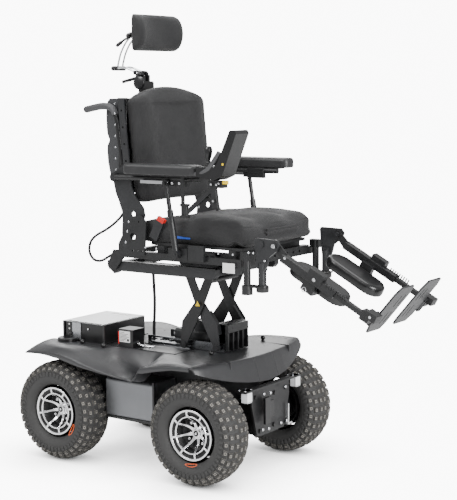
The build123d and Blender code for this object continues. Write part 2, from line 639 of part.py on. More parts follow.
arm_frame = build_arm_frame()
JOY_X, JOY_Y = 277.0, -280.0
with BuildPart() as arm_frame_right:
    add(arm_frame)
    block(252, 264, -277, -269.5, 936, 1076)
    block(252, 264, -277, -255, 1064, 1076)
    block(256, JOY_X + 9, JOY_Y - 9, -269.5, 936, 944)
    block(256, JOY_X + 9, JOY_Y - 9, -269.5, 976, 984)
    post(JOY_X, JOY_Y, 5, 940, 980)
keep(arm_frame_right.part, "arm_frame_right")
keep(mirror(arm_frame, about=Plane.XZ), "arm_frame_left")

PAD_FRONT = 354.0
JOYSTICK_NOTCH = 26.0


def build_arm_pad(front):
    """A right-hand armrest pad that ends at the given X."""
    with BuildPart() as arm_pad:
        block(5, front, PAD_Y0, PAD_Y1, 1080, 1117)
        fillet(arm_pad.edges().filter_by(Axis.Z), 22)
        fillet(arm_pad.edges().group_by(Axis.Z)[-1], 11)
    return arm_pad.part


keep(build_arm_pad(PAD_FRONT - JOYSTICK_NOTCH), "arm_pad_right")
keep(mirror(build_arm_pad(PAD_FRONT), about=Plane.XZ), "arm_pad_left")

with BuildPart() as arm_post:
    step_x = POST_X + 0.62 * POST_DX
    step_z = POST_Z + 0.62 * POST_DZ
    pin(POST_X, POST_Z, 15, -POST_Y - 11, -POST_Y + 11)
    bar((POST_X, -POST_Y, POST_Z), (step_x, -POST_Y, step_z), 11)
    bar((POST_X, -POST_Y, POST_Z), (TOP_X, -POST_Y, TOP_Z), 8)
    pin(TOP_X, TOP_Z, 12, -POST_Y - 8, -POST_Y + 5)
    pin(POST_X, POST_Z, 6 + RUN, -POST_Y - 20, -POST_Y + 20, mode=Mode.SUBTRACT)
    pin(TOP_X, TOP_Z, 5 + GAP, -POST_Y - 20, -POST_Y + 20, mode=Mode.SUBTRACT)
keep_pair(arm_post.part, "arm_post")

# ---- joystick on its swing-away arm ----
with BuildPart() as joystick_arm:
    post(JOY_X, JOY_Y, 9, 944.3, 975.7)
    square_bar((JOY_X + 4, JOY_Y, 955), (398, JOY_Y, 1046), 12, 15)
    square_bar((404, JOY_Y, 974), (394, JOY_Y, 1046), 14, 22)
    square_bar((340, JOY_Y + 10, 1030), (404, JOY_Y + 10, 968), 8, 10)
    block(376, 436, JOY_Y - 8, JOY_Y + 22, 1044, 1068)
    post(JOY_X, JOY_Y, 5 + RUN, 930, 985, mode=Mode.SUBTRACT)
    block(430, 450, JOY_Y - 4, JOY_Y + 8, 1056, 1066)
    for x, z in ((392, 1056), (414, 1056), (400, 1000)):
        pin(x, z, 6, JOY_Y - 12, JOY_Y - 6)
keep(joystick_arm.part, "joystick_arm")

STICK_X, STICK_Y = 362.0, -264.0
with BuildPart() as joystick_housing:
    side_plate([(336, 1092), (336, 1080), (408, 1069), (444, 1084), (503, 1228), (496, 1239), (476, 1238),
                (424, 1128), (408, 1114), (336, 1114)], -302, -226, corner=4)
    with Locations((STICK_X, STICK_Y, 1108)):
        Cylinder(20, 40, mode=Mode.SUBTRACT)
    pin(STICK_X, 1106, 2 + RUN, STICK_Y - 26, STICK_Y + 26, mode=Mode.SUBTRACT)
keep(joystick_housing.part, "joystick_housing")

with BuildPart() as stick_gimbal:
    post(STICK_X, STICK_Y, 15, 1101, 1111)
    post(STICK_X, STICK_Y, 11, 1090, 1120, mode=Mode.SUBTRACT)
    pin(STICK_X, 1106, 2, STICK_Y - 24, STICK_Y - 13)
    pin(STICK_X, 1106, 2, STICK_Y + 13, STICK_Y + 24)
    bar((STICK_X - 16, STICK_Y, 1106), (STICK_X + 16, STICK_Y, 1106), 1.5 + RUN, mode=Mode.SUBTRACT)
keep(stick_gimbal.part, "stick_gimbal")

with BuildPart() as joystick_stick:
    post(STICK_X, STICK_Y, 5, 1102, 1150)
    bar((STICK_X - 14.5, STICK_Y, 1106), (STICK_X + 14.5, STICK_Y, 1106), 1.5)
    post(STICK_X, STICK_Y, 8.5, 1146, 1184)
    fillet(joystick_stick.edges().sort_by(Axis.Z)[-1], 4)
    with Locations((STICK_X, STICK_Y, 1132)):
        Cone(17, 8, 16)
keep(joystick_stick.part, "joystick_stick")

# ---- legrests ----
drop = math.radians(LEG_DROP)
LEG_U = (math.cos(drop), -math.sin(drop))     # down the leg
LEG_N = (math.sin(drop), math.cos(drop))      # towards the shin


def leg(s, n, y):
    """A point of the legrest: s down the leg from the elbow, n towards the shin."""
    return (628 + LEG_U[0] * s + LEG_N[0] * n, y, 813 + LEG_U[1] * s + LEG_N[1] * n)


def leg_box(s0, s1, y0, y1, n0, n1, mode=Mode.ADD, corner=0.0):
    """A box square to the leg."""
    middle = leg((s0 + s1) / 2, (n0 + n1) / 2, (y0 + y1) / 2)
    with BuildSketch(Plane(origin=leg(s0, (n0 + n1) / 2, (y0 + y1) / 2), x_dir=(0, 1, 0),
                           z_dir=(LEG_U[0], 0, LEG_U[1]))) as section:
        if corner > 0:
            RectangleRounded(abs(y1 - y0), abs(n1 - n0), corner)
        else:
            Rectangle(abs(y1 - y0), abs(n1 - n0))
    extrude(section.sketch, amount=s1 - s0, mode=mode)


def leg_pin(s0, s1, y, n, radius, mode=Mode.ADD):
    """A round bar that lies along the leg."""
    bar(leg(s0, n, y), leg(s1, n, y), radius, mode=mode)


PAD_HINGE_Y = -154.0
PAD_HINGE_N = -53.0
with BuildPart() as hanger:
    post(SWING_X, -207, 14, 713, 790)
    post(SWING_X, -207, 8 + RUN, 700, 764, mode=Mode.SUBTRACT)
    side_plate([(524, 772), (552, 762), (566, 782), (574, 812), (606, 836), (616, 856), (604, 872),
                (520, 874), (514, 866), (520, 800)], -216, -208, corner=4)
    side_plate([(530, 764), (556, 764), (556, 800), (530, 800)], -208, -198)
    pin(LEG_PIVOT_X, LEG_PIVOT_Z, PIN_R, -LEG_Y, -190)
    pin(SWING_X + 2, 855, 11, -221, -216)
    pin(LEG_PIVOT_X, LEG_PIVOT_Z, 10, -220, -216)
keep_pair(hanger.part, "hanger")

HOLLOW = 9.0
TUBE_Y0, TUBE_Y1 = -221.0, -193.0
with BuildPart() as leg_tube:
    side_plate([(584, 848), (590, 862), (604, 862), (638, 826), (642, 806), (622, 800)], -206, -198)
    pin(LEG_PIVOT_X, LEG_PIVOT_Z, 14, -206, -198)
    pin(LEG_PIVOT_X, LEG_PIVOT_Z, PIN_R + RUN, -212, -186, mode=Mode.SUBTRACT)
    leg_box(-4, 226, TUBE_Y0, TUBE_Y1, -14, 14, corner=3)
    leg_box(14, 240, -207 - HOLLOW - GAP, -207 + HOLLOW + GAP, -HOLLOW - GAP, HOLLOW + GAP,
            mode=Mode.SUBTRACT)
    leg_box(94, 144, -194, -172, -62, -2)
    leg_box(94, 103, -172, -146, -62, -44)
    leg_box(135, 144, -172, -146, -62, -44)
    leg_pin(90, 150, PAD_HINGE_Y, PAD_HINGE_N, 4 + RUN, mode=Mode.SUBTRACT)
keep_pair(leg_tube.part, "leg_tube")

TOE = math.radians(50.0)
HEEL_X, HEEL_Z = 904.0, 576.0
TOE_U = (math.cos(TOE), math.sin(TOE))
FOOT_Y = -96.0
FOOT_HALF_W = 56.0
FOOT_T = 6.0
FLIP_Y = -164.0          # hinge line of the footplate
FLIP_R = 4.0
KNUCKLE_0, KNUCKLE_1 = 52.0, 90.0


def sole(n=0.0):
    """The plane of the footplate: x from heel to toe, y inwards, n towards the leg."""
    return Plane(origin=(HEEL_X - TOE_U[1] * n, 0, HEEL_Z + TOE_U[0] * n), x_dir=(TOE_U[0], 0, TOE_U[1]),
                 z_dir=(-TOE_U[1], 0, TOE_U[0]))


def sole_box(t0, t1, y0, y1, n0, n1):
    """A box square to the footplate."""
    with BuildSketch(sole(n0)) as area:
        with Locations(((t0 + t1) / 2, (y0 + y1) / 2)):
            Rectangle(t1 - t0, y1 - y0)
    extrude(area.sketch, amount=n1 - n0)


def sole_pin(t0, t1, radius, mode=Mode.ADD):
    """A round bar on the footplate's hinge line."""
    n = FOOT_T / 2
    ends = []
    for t in (t0, t1):
        ends.append((HEEL_X + TOE_U[0] * t - TOE_U[1] * n, FLIP_Y, HEEL_Z + TOE_U[1] * t + TOE_U[0] * n))
    bar(ends[0], ends[1], radius, mode=mode)


with BuildPart() as leg_extension:
    leg_box(40, 340, -207 - HOLLOW, -207 + HOLLOW, -HOLLOW, HOLLOW, corner=2)
    leg_box(338, 372, -216, -186, -18, 18, corner=2)
    leg_box(346, 364, -187, -176, -8, 8)
    sole_box(KNUCKLE_0 - 8, KNUCKLE_1 + 8, FLIP_Y - 15, FLIP_Y - 8, -5, 17)
    sole_box(KNUCKLE_0 - 8, KNUCKLE_0 - GAP, FLIP_Y - 9, FLIP_Y + 7, -4, 10)
    sole_box(KNUCKLE_1 + GAP, KNUCKLE_1 + 8, FLIP_Y - 9, FLIP_Y + 7, -4, 10)
    sole_pin(KNUCKLE_0 - 6, KNUCKLE_1 + 6, FLIP_R)
keep_pair(leg_extension.part, "leg_extension")

PAD_BACK_N = -56.0
with BuildPart() as calf_pad:
    centre = leg(119, PAD_BACK_N, -118)
    with BuildSketch(Plane(origin=centre, x_dir=(LEG_U[0], 0, LEG_U[1]),
                           z_dir=(LEG_N[0], 0, LEG_N[1]))) as oval:
        SlotOverall(238, 106)
    extrude(oval.sketch, amount=38)
    front = calf_pad.faces().sort_by(Axis((0, 0, 0), (LEG_N[0], 0, LEG_N[1])))[-1]
    fillet(front.edges(), 14)
    leg_box(92, 146, -180, -141, -66, -36, mode=Mode.SUBTRACT)
    leg_box(104, 134, -160, -135, -60, -46)
    leg_pin(94, 144, PAD_HINGE_Y, PAD_HINGE_N, 4)
keep_pair(calf_pad.part, "calf_pad")

with BuildPart() as footplate:
    with BuildSketch(sole()) as plate:
        with BuildLine():
            Polyline((0, FOOT_Y - 40), (0, FOOT_Y + 48), (26, FOOT_Y + FOOT_HALF_W),
                     (170, FOOT_Y + FOOT_HALF_W), (206, FOOT_Y + 42), (206, FOOT_Y - 44),
                     (176, FOOT_Y - FOOT_HALF_W), (30, FOOT_Y - FOOT_HALF_W), close=True)
        make_face()
        fillet(plate.vertices(), 6)
        with Locations((60, FOOT_Y + 30), (60, FOOT_Y + 4), (140, FOOT_Y + 30), (140, FOOT_Y + 4)):
            SlotOverall(52, 5, mode=Mode.SUBTRACT)
    extrude(plate.sketch, amount=FOOT_T)
    sole_box(KNUCKLE_0, KNUCKLE_1, FLIP_Y + 1, FOOT_Y - FOOT_HALF_W + 2, 0, FOOT_T)
    sole_pin(KNUCKLE_0, KNUCKLE_1, FLIP_R + 3)
    sole_pin(KNUCKLE_0 - 1, KNUCKLE_1 + 1, FLIP_R + RUN, mode=Mode.SUBTRACT)
keep_pair(footplate.part, "footplate")

# ---- cables held at both ends ----
def cable(points, radius, label):
    """A round cable along straight runs joined by arcs as large as the runs allow."""
    radii = []
    for before, here, after in zip(points, points[1:], points[2:]):
        first = Vector(*here) - Vector(*before)
        second = Vector(*after) - Vector(*here)
        turn = math.radians(first.get_angle(second))
        radii.append(0.45 * min(first.length, second.length) / math.tan(turn / 2))
    with BuildPart() as tube:
        with BuildLine() as route:
            FilletPolyline(*points, radius=radii)
        with BuildSketch(Plane(origin=route.wire() @ 0, z_dir=route.wire() % 0)):
            Circle(radius)
        sweep(path=route.wire())
    print(label, "radii", [round(r) for r in radii], "length", round(route.wire().length, 1),
          "volume / (section x length)", round(tube.part.volume / (math.pi * radius ** 2 * route.wire().length), 4))
    return tube.part


BUNDLE_ROUTE = [(BUNDLE_X, 0, 775), (BUNDLE_X, 0, 700), (BUNDLE_X + 5, -2, 640), (BUNDLE_X + 8, -2, 580),
                (BUNDLE_X + 4, 0, 520), (BUNDLE_X, 0, 460), (BUNDLE_X, 0.2, 400)]
keep(cable(BUNDLE_ROUTE, 6, "seat_cable"), "seat_cable")

BACK_ROUTE = [(-56, -180, 1030), (-62, -180, 970), (-88, -178, 922), (-132, -175, 886), (-180, -171, 858),
              (-228, -166, 838), (-264, -162, 812), (-276, -160, 772), (-252, -162, 740), (-210, -166, 738),
              (-166, -174, 760), (-120, -184, 782), (-78.2, -184, 782)]
keep(cable(BACK_ROUTE, 5, "back_cable"), "back_cable")

# ---- export, moved so that X = 0 is mid-length ----
low_x = min(piece.bounding_box().min.X for piece in pieces.values())
high_x = max(piece.bounding_box().max.X for piece in pieces.values())
SHIFT = -(low_x + high_x) / 2
print("shift along X", round(SHIFT, 3), "pieces", len(pieces))
for label, piece in pieces.items():
    moved = Pos(SHIFT, 0, 0) * piece
    moved.label = label
    export_step(moved, "parts/" + label + ".step")
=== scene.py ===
"""Looks of a powered wheelchair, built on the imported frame. Lengths in the helpers are in millimetres
from the point on the floor midway between the axles; place() turns them into the row frame in metres."""
import json
import math
import bmesh
import bpy
import numpy as np
from mathutils import Matrix, Vector

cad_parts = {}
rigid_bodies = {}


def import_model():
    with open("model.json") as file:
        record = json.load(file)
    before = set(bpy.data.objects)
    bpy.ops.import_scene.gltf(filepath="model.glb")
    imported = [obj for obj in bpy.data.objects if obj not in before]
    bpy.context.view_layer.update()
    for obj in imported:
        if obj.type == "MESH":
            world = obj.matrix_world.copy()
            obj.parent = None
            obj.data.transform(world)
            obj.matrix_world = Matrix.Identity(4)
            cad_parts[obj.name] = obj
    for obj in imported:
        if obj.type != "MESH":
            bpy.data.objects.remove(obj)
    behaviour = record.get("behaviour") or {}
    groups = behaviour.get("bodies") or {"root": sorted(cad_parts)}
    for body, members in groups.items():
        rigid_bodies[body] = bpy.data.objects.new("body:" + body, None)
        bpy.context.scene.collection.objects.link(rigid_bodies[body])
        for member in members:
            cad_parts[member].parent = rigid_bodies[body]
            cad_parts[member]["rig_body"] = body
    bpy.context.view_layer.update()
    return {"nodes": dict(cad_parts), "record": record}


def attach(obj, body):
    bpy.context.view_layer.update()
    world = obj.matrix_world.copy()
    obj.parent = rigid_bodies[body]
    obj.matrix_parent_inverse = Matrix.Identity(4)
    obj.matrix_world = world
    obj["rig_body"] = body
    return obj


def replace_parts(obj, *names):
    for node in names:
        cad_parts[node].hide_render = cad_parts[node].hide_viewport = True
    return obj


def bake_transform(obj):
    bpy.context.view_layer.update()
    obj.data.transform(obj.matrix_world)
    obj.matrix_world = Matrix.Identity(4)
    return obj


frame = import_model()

MM = 0.001
SHIFT = -267.707          # the frame's X = 0 is mid-length; the axles' middle is this far in front
NODES = frame["nodes"]


def place(v):
    """Millimetres from the axles' middle to the row frame in metres."""
    v = np.asarray(v, float).reshape(-1, 3).copy()
    v[:, 0] += SHIFT
    return v * MM


# ---------------------------------------------------------------- materials
def surface_group():
    """Shared effect: cloudy variation of a colour, a rough mottling and a fine bump."""
    g = bpy.data.node_groups.new("Surface", "ShaderNodeTree")
    s = g.interface
    for name, kind in (("Color", "NodeSocketColor"), ("Variation", "NodeSocketFloat"),
                       ("Scale", "NodeSocketFloat"), ("Roughness", "NodeSocketFloat"),
                       ("Grain", "NodeSocketFloat"), ("Grain Scale", "NodeSocketFloat")):
        s.new_socket(name, in_out="INPUT", socket_type=kind)
    s.new_socket("Color", in_out="OUTPUT", socket_type="NodeSocketColor")
    s.new_socket("Roughness", in_out="OUTPUT", socket_type="NodeSocketFloat")
    s.new_socket("Normal", in_out="OUTPUT", socket_type="NodeSocketVector")
    n, l = g.nodes, g.links
    gin, gout = n.new("NodeGroupInput"), n.new("NodeGroupOutput")
    co = n.new("ShaderNodeTexCoord")
    big = n.new("ShaderNodeTexNoise")
    big.inputs["Detail"].default_value = 4
    l.new(co.outputs["Object"], big.inputs["Vector"])
    l.new(gin.outputs["Scale"], big.inputs["Scale"])
    mr = n.new("ShaderNodeMapRange")
    mr.inputs["From Min"].default_value = 0.3
    mr.inputs["From Max"].default_value = 0.7
    mr.inputs["To Min"].default_value = -1
    l.new(big.outputs["Fac"], mr.inputs["Value"])
    mul = n.new("ShaderNodeMath")
    mul.operation = "MULTIPLY_ADD"
    mul.inputs[2].default_value = 1.0
    l.new(mr.outputs["Result"], mul.inputs[0])
    l.new(gin.outputs["Variation"], mul.inputs[1])
    mix = n.new("ShaderNodeVectorMath")
    mix.operation = "SCALE"
    l.new(gin.outputs["Color"], mix.inputs[0])
    l.new(mul.outputs[0], mix.inputs["Scale"])
    rr = n.new("ShaderNodeMath")
    rr.operation = "MULTIPLY"
    l.new(gin.outputs["Roughness"], rr.inputs[0])
    l.new(mul.outputs[0], rr.inputs[1])
    fine = n.new("ShaderNodeTexNoise")
    fine.inputs["Detail"].default_value = 3
    l.new(co.outputs["Object"], fine.inputs["Vector"])
    l.new(gin.outputs["Grain Scale"], fine.inputs["Scale"])
    bump = n.new("ShaderNodeBump")
    bump.inputs["Distance"].default_value = 0.0006
    l.new(gin.outputs["Grain"], bump.inputs["Strength"])
    l.new(fine.outputs["Fac"], bump.inputs["Height"])
    l.new(mix.outputs[0], gout.inputs["Color"])
    l.new(rr.outputs[0], gout.inputs["Roughness"])
    l.new(bump.outputs["Normal"], gout.inputs["Normal"])
    return g


SURFACE = surface_group()
MATS = {}


def finish(name, color, rough, metal=0.0, variation=0.08, scale=14.0, grain=0.15, grain_scale=900.0,
           coat=0.0, sheen=0.0):
    """A material from the shared surface effect; returns (material, nodes, links, group, bsdf)."""
    m = bpy.data.materials.new(name)
    m.use_nodes = True
    n, l = m.node_tree.nodes, m.node_tree.links
    b = n["Principled BSDF"]
    g = n.new("ShaderNodeGroup")
    g.node_tree = SURFACE
    g.inputs["Color"].default_value = (*color, 1)
    for key, value in (("Variation", variation), ("Scale", scale), ("Roughness", rough),
                       ("Grain", grain), ("Grain Scale", grain_scale)):
        g.inputs[key].default_value = value
    l.new(g.outputs["Color"], b.inputs["Base Color"])
    l.new(g.outputs["Roughness"], b.inputs["Roughness"])
    l.new(g.outputs["Normal"], b.inputs["Normal"])
    b.inputs["Metallic"].default_value = metal
    b.inputs["Coat Weight"].default_value = coat
    b.inputs["Coat Roughness"].default_value = 0.15
    b.inputs["Sheen Weight"].default_value = sheen
    b.inputs["Sheen Roughness"].default_value = 0.5
    MATS[name] = m
    return m, n, l, g, b


def mask_mix(n, l, group, fac, color, name="Color"):
    """Mixes the group's colour with another by a mask socket, and returns the mixed socket."""
    mix = n.new("ShaderNodeMix")
    mix.data_type = "RGBA"
    l.new(fac, mix.inputs["Factor"])
    l.new(group.outputs[name], mix.inputs["A"])
    mix.inputs["B"].default_value = (*color, 1)
    return mix.outputs["Result"]


finish("frame_dark", (0.0085, 0.0087, 0.0094), 0.40, 0.0, 0.12, 20, 0.25, 1400)
finish("frame_grey", (0.018, 0.0185, 0.020), 0.38, 0.1, 0.10, 16, 0.2, 1400)
finish("bright_metal", (0.16, 0.165, 0.175), 0.28, 1.0, 0.10, 30, 0.1, 1800)
finish("chrome_rod", (0.80, 0.81, 0.83), 0.08, 1.0, 0.03, 30, 0.02, 900)
finish("cast", (0.03, 0.031, 0.033), 0.45, 0.6, 0.2, 40, 0.6, 500)
finish("cover_plastic", (0.027, 0.0273, 0.029), 0.36, 0.0, 0.05, 6, 0.35, 1300)
finish("gloss_black", (0.005, 0.005, 0.0056), 0.30, 0.0, 0.08, 10, 0.08, 900, coat=0.12)
finish("shell_grey", (0.040, 0.041, 0.044), 0.38, 0.1, 0.05, 8, 0.15, 900)
finish("battery_case", (0.01, 0.01, 0.011), 0.5)
finish("battery_cover", (0.20, 0.205, 0.215), 0.33, 0.85, 0.10, 9, 0.12, 700)
finish("module_case", (0.42, 0.43, 0.45), 0.28, 0.9, 0.08, 10, 0.1, 800)
finish("pad_skin", (0.018, 0.018, 0.019), 0.42, 0.0, 0.08, 18, 0.35, 700)
finish("lamp_white", (0.82, 0.83, 0.85), 0.25, 0.0, 0.03, 30, 0.05, 900, coat=0.5)
finish("cable_jacket", (0.006, 0.006, 0.0065), 0.6, 0.0, 0.2, 60, 0.8, 400)
finish("button_red", (0.62, 0.012, 0.008), 0.35, 0.0, 0.05)
finish("boot_rubber", (0.02, 0.02, 0.021), 0.6)
finish("white_label", (0.80, 0.80, 0.79), 0.5, 0.0, 0.03)
finish("label_ink", (0.03, 0.03, 0.032), 0.6, 0.0, 0.03)
finish("yellow_mark", (0.80, 0.55, 0.01), 0.4, 0.0, 0.04)
finish("blue_tag", (0.012, 0.07, 0.42), 0.5, 0.0, 0.12, 60)
finish("orange_mark", (0.72, 0.10, 0.015), 0.6, 0.0, 0.1)
finish("grip_grey", (0.05, 0.05, 0.053), 0.55, 0.0, 0.1, 20, 0.6, 500)
finish("silver_top", (0.88, 0.89, 0.90), 0.26, 1.0, 0.05, 6, 0.05, 800)
finish("rim_bright", (0.93, 0.93, 0.94), 0.16, 1.0, 0.04, 30, 0.04, 1500)
finish("rim_black", (0.003, 0.003, 0.0033), 0.55, 0.0, 0.1, 20, 0.1, 1200)

# woven cloth: a fine two-way weave over the shared surface
m, n, l, g, b = finish("upholstery", (0.0095, 0.0095, 0.0103), 0.82, 0.0, 0.10, 12, 0.3, 1500, sheen=0.08)
co = n.new("ShaderNodeTexCoord")
waves = []
for axis in ("X", "Y", "Z"):
    w = n.new("ShaderNodeTexWave")
    w.bands_direction = axis
    w.inputs["Scale"].default_value = 260
    w.inputs["Distortion"].default_value = 0.6
    l.new(co.outputs["Object"], w.inputs["Vector"])
    waves.append(w)
a1, a2 = n.new("ShaderNodeMath"), n.new("ShaderNodeMath")
l.new(waves[0].outputs["Fac"], a1.inputs[0])
l.new(waves[1].outputs["Fac"], a1.inputs[1])
l.new(a1.outputs[0], a2.inputs[0])
l.new(waves[2].outputs["Fac"], a2.inputs[1])
weave = n.new("ShaderNodeBump")
weave.inputs["Strength"].default_value = 0.35
weave.inputs["Distance"].default_value = 0.0005
l.new(a2.outputs[0], weave.inputs["Height"])
l.new(g.outputs["Normal"], weave.inputs["Normal"])
l.new(weave.outputs["Normal"], b.inputs["Normal"])

# tyre rubber: lighter square rings on the lug tops and a lighter band at the lug foot, painted highlight on the lug
# edges, from the lug attribute (across, along, top)
m, n, l, g, b = finish("tyre", (0.033, 0.0325, 0.032), 0.72, 0.0, 0.16, 24, 0.5, 500)
at = n.new("ShaderNodeAttribute")
at.attribute_name = "lug"
sep = n.new("ShaderNodeSeparateXYZ")
l.new(at.outputs["Vector"], sep.inputs[0])
absx, absy, mx = (n.new("ShaderNodeMath") for _ in range(3))
absx.operation = absy.operation = "ABSOLUTE"
mx.operation = "MAXIMUM"
l.new(sep.outputs["X"], absx.inputs[0])
l.new(sep.outputs["Y"], absy.inputs[0])
l.new(absx.outputs[0], mx.inputs[0])
l.new(absy.outputs[0], mx.inputs[1])
ramp = n.new("ShaderNodeValToRGB")
ramp.color_ramp.elements[0].position = 0.30
ramp.color_ramp.elements[0].color = (0, 0, 0, 1)
ramp.color_ramp.elements[1].position = 0.36
ramp.color_ramp.elements[1].color = (1, 1, 1, 1)
for pos, val in ((0.50, 1), (0.56, 0), (0.93, 0), (1.0, 0.35)):
    e = ramp.color_ramp.elements.new(pos)
    e.color = (val, val, val, 1)
l.new(mx.outputs[0], ramp.inputs["Fac"])
# painted highlight: the ramp mixes a light rubber colour onto the lug faces of the tread rows
fac = n.new("ShaderNodeMath")
fac.operation = "MULTIPLY"
l.new(ramp.outputs["Color"], fac.inputs[0])
l.new(sep.outputs["Z"], fac.inputs[1])
l.new(mask_mix(n, l, g, fac.outputs[0], (0.27, 0.25, 0.22)), b.inputs["Base Color"])

finish("rim_metal", (0.72, 0.73, 0.75), 0.22, 1.0, 0.05, 30, 0.05, 1500)


# ---------------------------------------------------------------- mesh helpers
def mesh_object(name, verts, faces, material, body, smooth=True, attribute=None):
    """A mesh from millimetre vertices and faces, with its place in its vertices, riding on a body."""
    me = bpy.data.meshes.new(name)
    me.from_pydata(place(verts), [], [tuple(f) for f in faces])
    me.polygons.foreach_set("use_smooth", [smooth] * len(me.polygons))
    me.materials.append(MATS[material])
    if attribute is not None:
        layer = me.attributes.new(attribute[0], "FLOAT_VECTOR", "POINT")
        layer.data.foreach_set("vector", np.asarray(attribute[1], np.float32).ravel())
    me.update()
    o = bpy.data.objects.new(name, me)
    bpy.context.scene.collection.objects.link(o)
    if body:
        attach(o, body)
    return o


def grid_faces(nu, nv, wrap_u=False, wrap_v=False, start=0):
    """Quads of an nu by nv grid of points, counted row by row."""
    iu = np.arange(nu if wrap_u else nu - 1)
    iv = np.arange(nv if wrap_v else nv - 1)
    a, b_ = np.meshgrid(iu, iv, indexing="ij")
    a, b_ = a.ravel(), b_.ravel()
    a1_, b1_ = (a + 1) % nu, (b_ + 1) % nv
    return np.stack([a * nv + b_, a1_ * nv + b_, a1_ * nv + b1_, a * nv + b1_], 1) + start


def frame_of(direction):
    """Two unit vectors square to a direction."""
    d = np.asarray(direction, float)
    d = d / np.linalg.norm(d)
    h = np.array([0, 0, 1.0]) if abs(d[2]) < 0.9 else np.array([1.0, 0, 0])
    u = np.cross(h, d)
    u /= np.linalg.norm(u)
    return d, u, np.cross(d, u)


class Kit:
    """Collects small pieces of one body and one material into a single mesh."""

    def __init__(self, name, body, material, bevel=0.0):
        self.name, self.body, self.material, self.bevel = name, body, material, bevel
        self.v, self.f, self.count = [], [], 0

    def add(self, verts, faces):
        verts = np.asarray(verts, float).reshape(-1, 3)
        self.v.append(verts)
        self.f += [tuple(int(i) + self.count for i in f) for f in faces]
        self.count += len(verts)
        return self

    def box(self, lo, hi, turn=None, about=None):
        """A box between two corners, turned by (axis, degrees) about a point."""
        lo, hi = np.array(lo, float), np.array(hi, float)
        c = np.array([[x, y, z] for x in (lo[0], hi[0]) for y in (lo[1], hi[1]) for z in (lo[2], hi[2])])
        if turn is not None:
            r = np.array(Matrix.Rotation(math.radians(turn[1]), 3, turn[0]))
            about = (lo + hi) / 2 if about is None else np.array(about, float)
            c = (c - about) @ r.T + about
        return self.add(c, [(0, 1, 3, 2), (4, 6, 7, 5), (0, 4, 5, 1), (2, 3, 7, 6), (0, 2, 6, 4), (1, 5, 7, 3)])

    def lathe(self, p, direction, profile, n=24):
        """A turned piece: profile holds (distance along, radius) pairs from p along the direction."""
        d, u, w = frame_of(direction)
        t = np.linspace(0, 2 * math.pi, n, endpoint=False)
        ring = np.outer(np.cos(t), u) + np.outer(np.sin(t), w)
        rows = [np.array(p, float) + d * s + ring * max(r, 0.01) for s, r in profile]
        verts = np.concatenate(rows)
        faces = [tuple(f) for f in grid_faces(len(profile), n, wrap_v=True)]
        faces += [tuple(range(n - 1, -1, -1)), tuple(range((len(profile) - 1) * n, len(profile) * n))]
        return self.add(verts, faces)

    def ring(self, p, direction, section, n=72):
        """A turned ring with a closed section of (distance along, radius) pairs."""
        d, u, w = frame_of(direction)
        t = np.linspace(0, 2 * math.pi, n, endpoint=False)
        around = np.outer(np.cos(t), u) + np.outer(np.sin(t), w)
        rows = [np.array(p, float) + d * s + around * r for s, r in section]
        return self.add(np.concatenate(rows), grid_faces(len(section), n, wrap_u=True, wrap_v=True))

    def bolt(self, p, direction, r, h=None):
        """A round screw head with a hex socket."""
        h = r * 0.8 if h is None else h
        return self.lathe(p, direction, [(0, r), (h * 0.7, r), (h, r * 0.8), (h, r * 0.45), (h * 0.4, r * 0.42)], 18)

    def ball(self, p, r, n=20):
        a = np.linspace(-math.pi / 2, math.pi / 2, n // 2 + 1)
        return self.lathe(np.array(p, float) - (0, 0, r), (0, 0, 1),
                          [(r + r * math.sin(t), r * math.cos(t)) for t in a], n)

    def tube(self, points, r, n=12, steps=8):
        """A bent round bar through points, smoothed as a Catmull-Rom curve."""
        p = np.array(points, float)
        q = np.vstack([2 * p[0] - p[1], p, 2 * p[-1] - p[-2]])
        t = np.linspace(0, 1, steps, endpoint=False)[:, None]
        path = []
        for i in range(len(p) - 1):
            a, b0, c, d = q[i:i + 4]
            path.append(0.5 * (2 * b0 + (c - a) * t + (2 * a - 5 * b0 + 4 * c - d) * t ** 2
                               + (3 * b0 - a - 3 * c + d) * t ** 3))
        path = np.vstack(path + [p[-1:]])
        tan = np.gradient(path, axis=0)
        tan /= np.linalg.norm(tan, axis=1)[:, None]
        _, u, _ = frame_of(tan[0])
        rings = []
        ang = np.linspace(0, 2 * math.pi, n, endpoint=False)
        for c, d in zip(path, tan):
            u = u - d * (u @ d)
            u /= np.linalg.norm(u)
            w = np.cross(d, u)
            rings.append(c + r * (np.outer(np.cos(ang), u) + np.outer(np.sin(ang), w)))
        verts = np.concatenate(rings)
        faces = [tuple(f) for f in grid_faces(len(path), n, wrap_v=True)]
        faces += [tuple(range(n - 1, -1, -1)), tuple(range((len(path) - 1) * n, len(path) * n))]
        return self.add(verts, faces)

    def done(self, smooth_angle=35):
        o = mesh_object(self.name, np.concatenate(self.v), self.f, self.material, self.body, smooth=False)
        bm = bmesh.new()
        bm.from_mesh(o.data)
        bmesh.ops.recalc_face_normals(bm, faces=bm.faces)
        bm.to_mesh(o.data)
        bm.free()
        if self.bevel > 0:
            bv = o.modifiers.new("Edges", "BEVEL")
            bv.width = self.bevel * MM
            bv.segments = 2
            bv.limit_method = "ANGLE"
            bv.angle_limit = math.radians(40)
        smooth_by_angle(o, smooth_angle)
        return o


def smooth_by_angle(o, degrees):
    """Marks edges sharper than an angle as sharp and shades the rest smooth."""
    me = o.data
    me.polygons.foreach_set("use_smooth", [True] * len(me.polygons))
    me.set_sharp_from_angle(angle=math.radians(degrees))


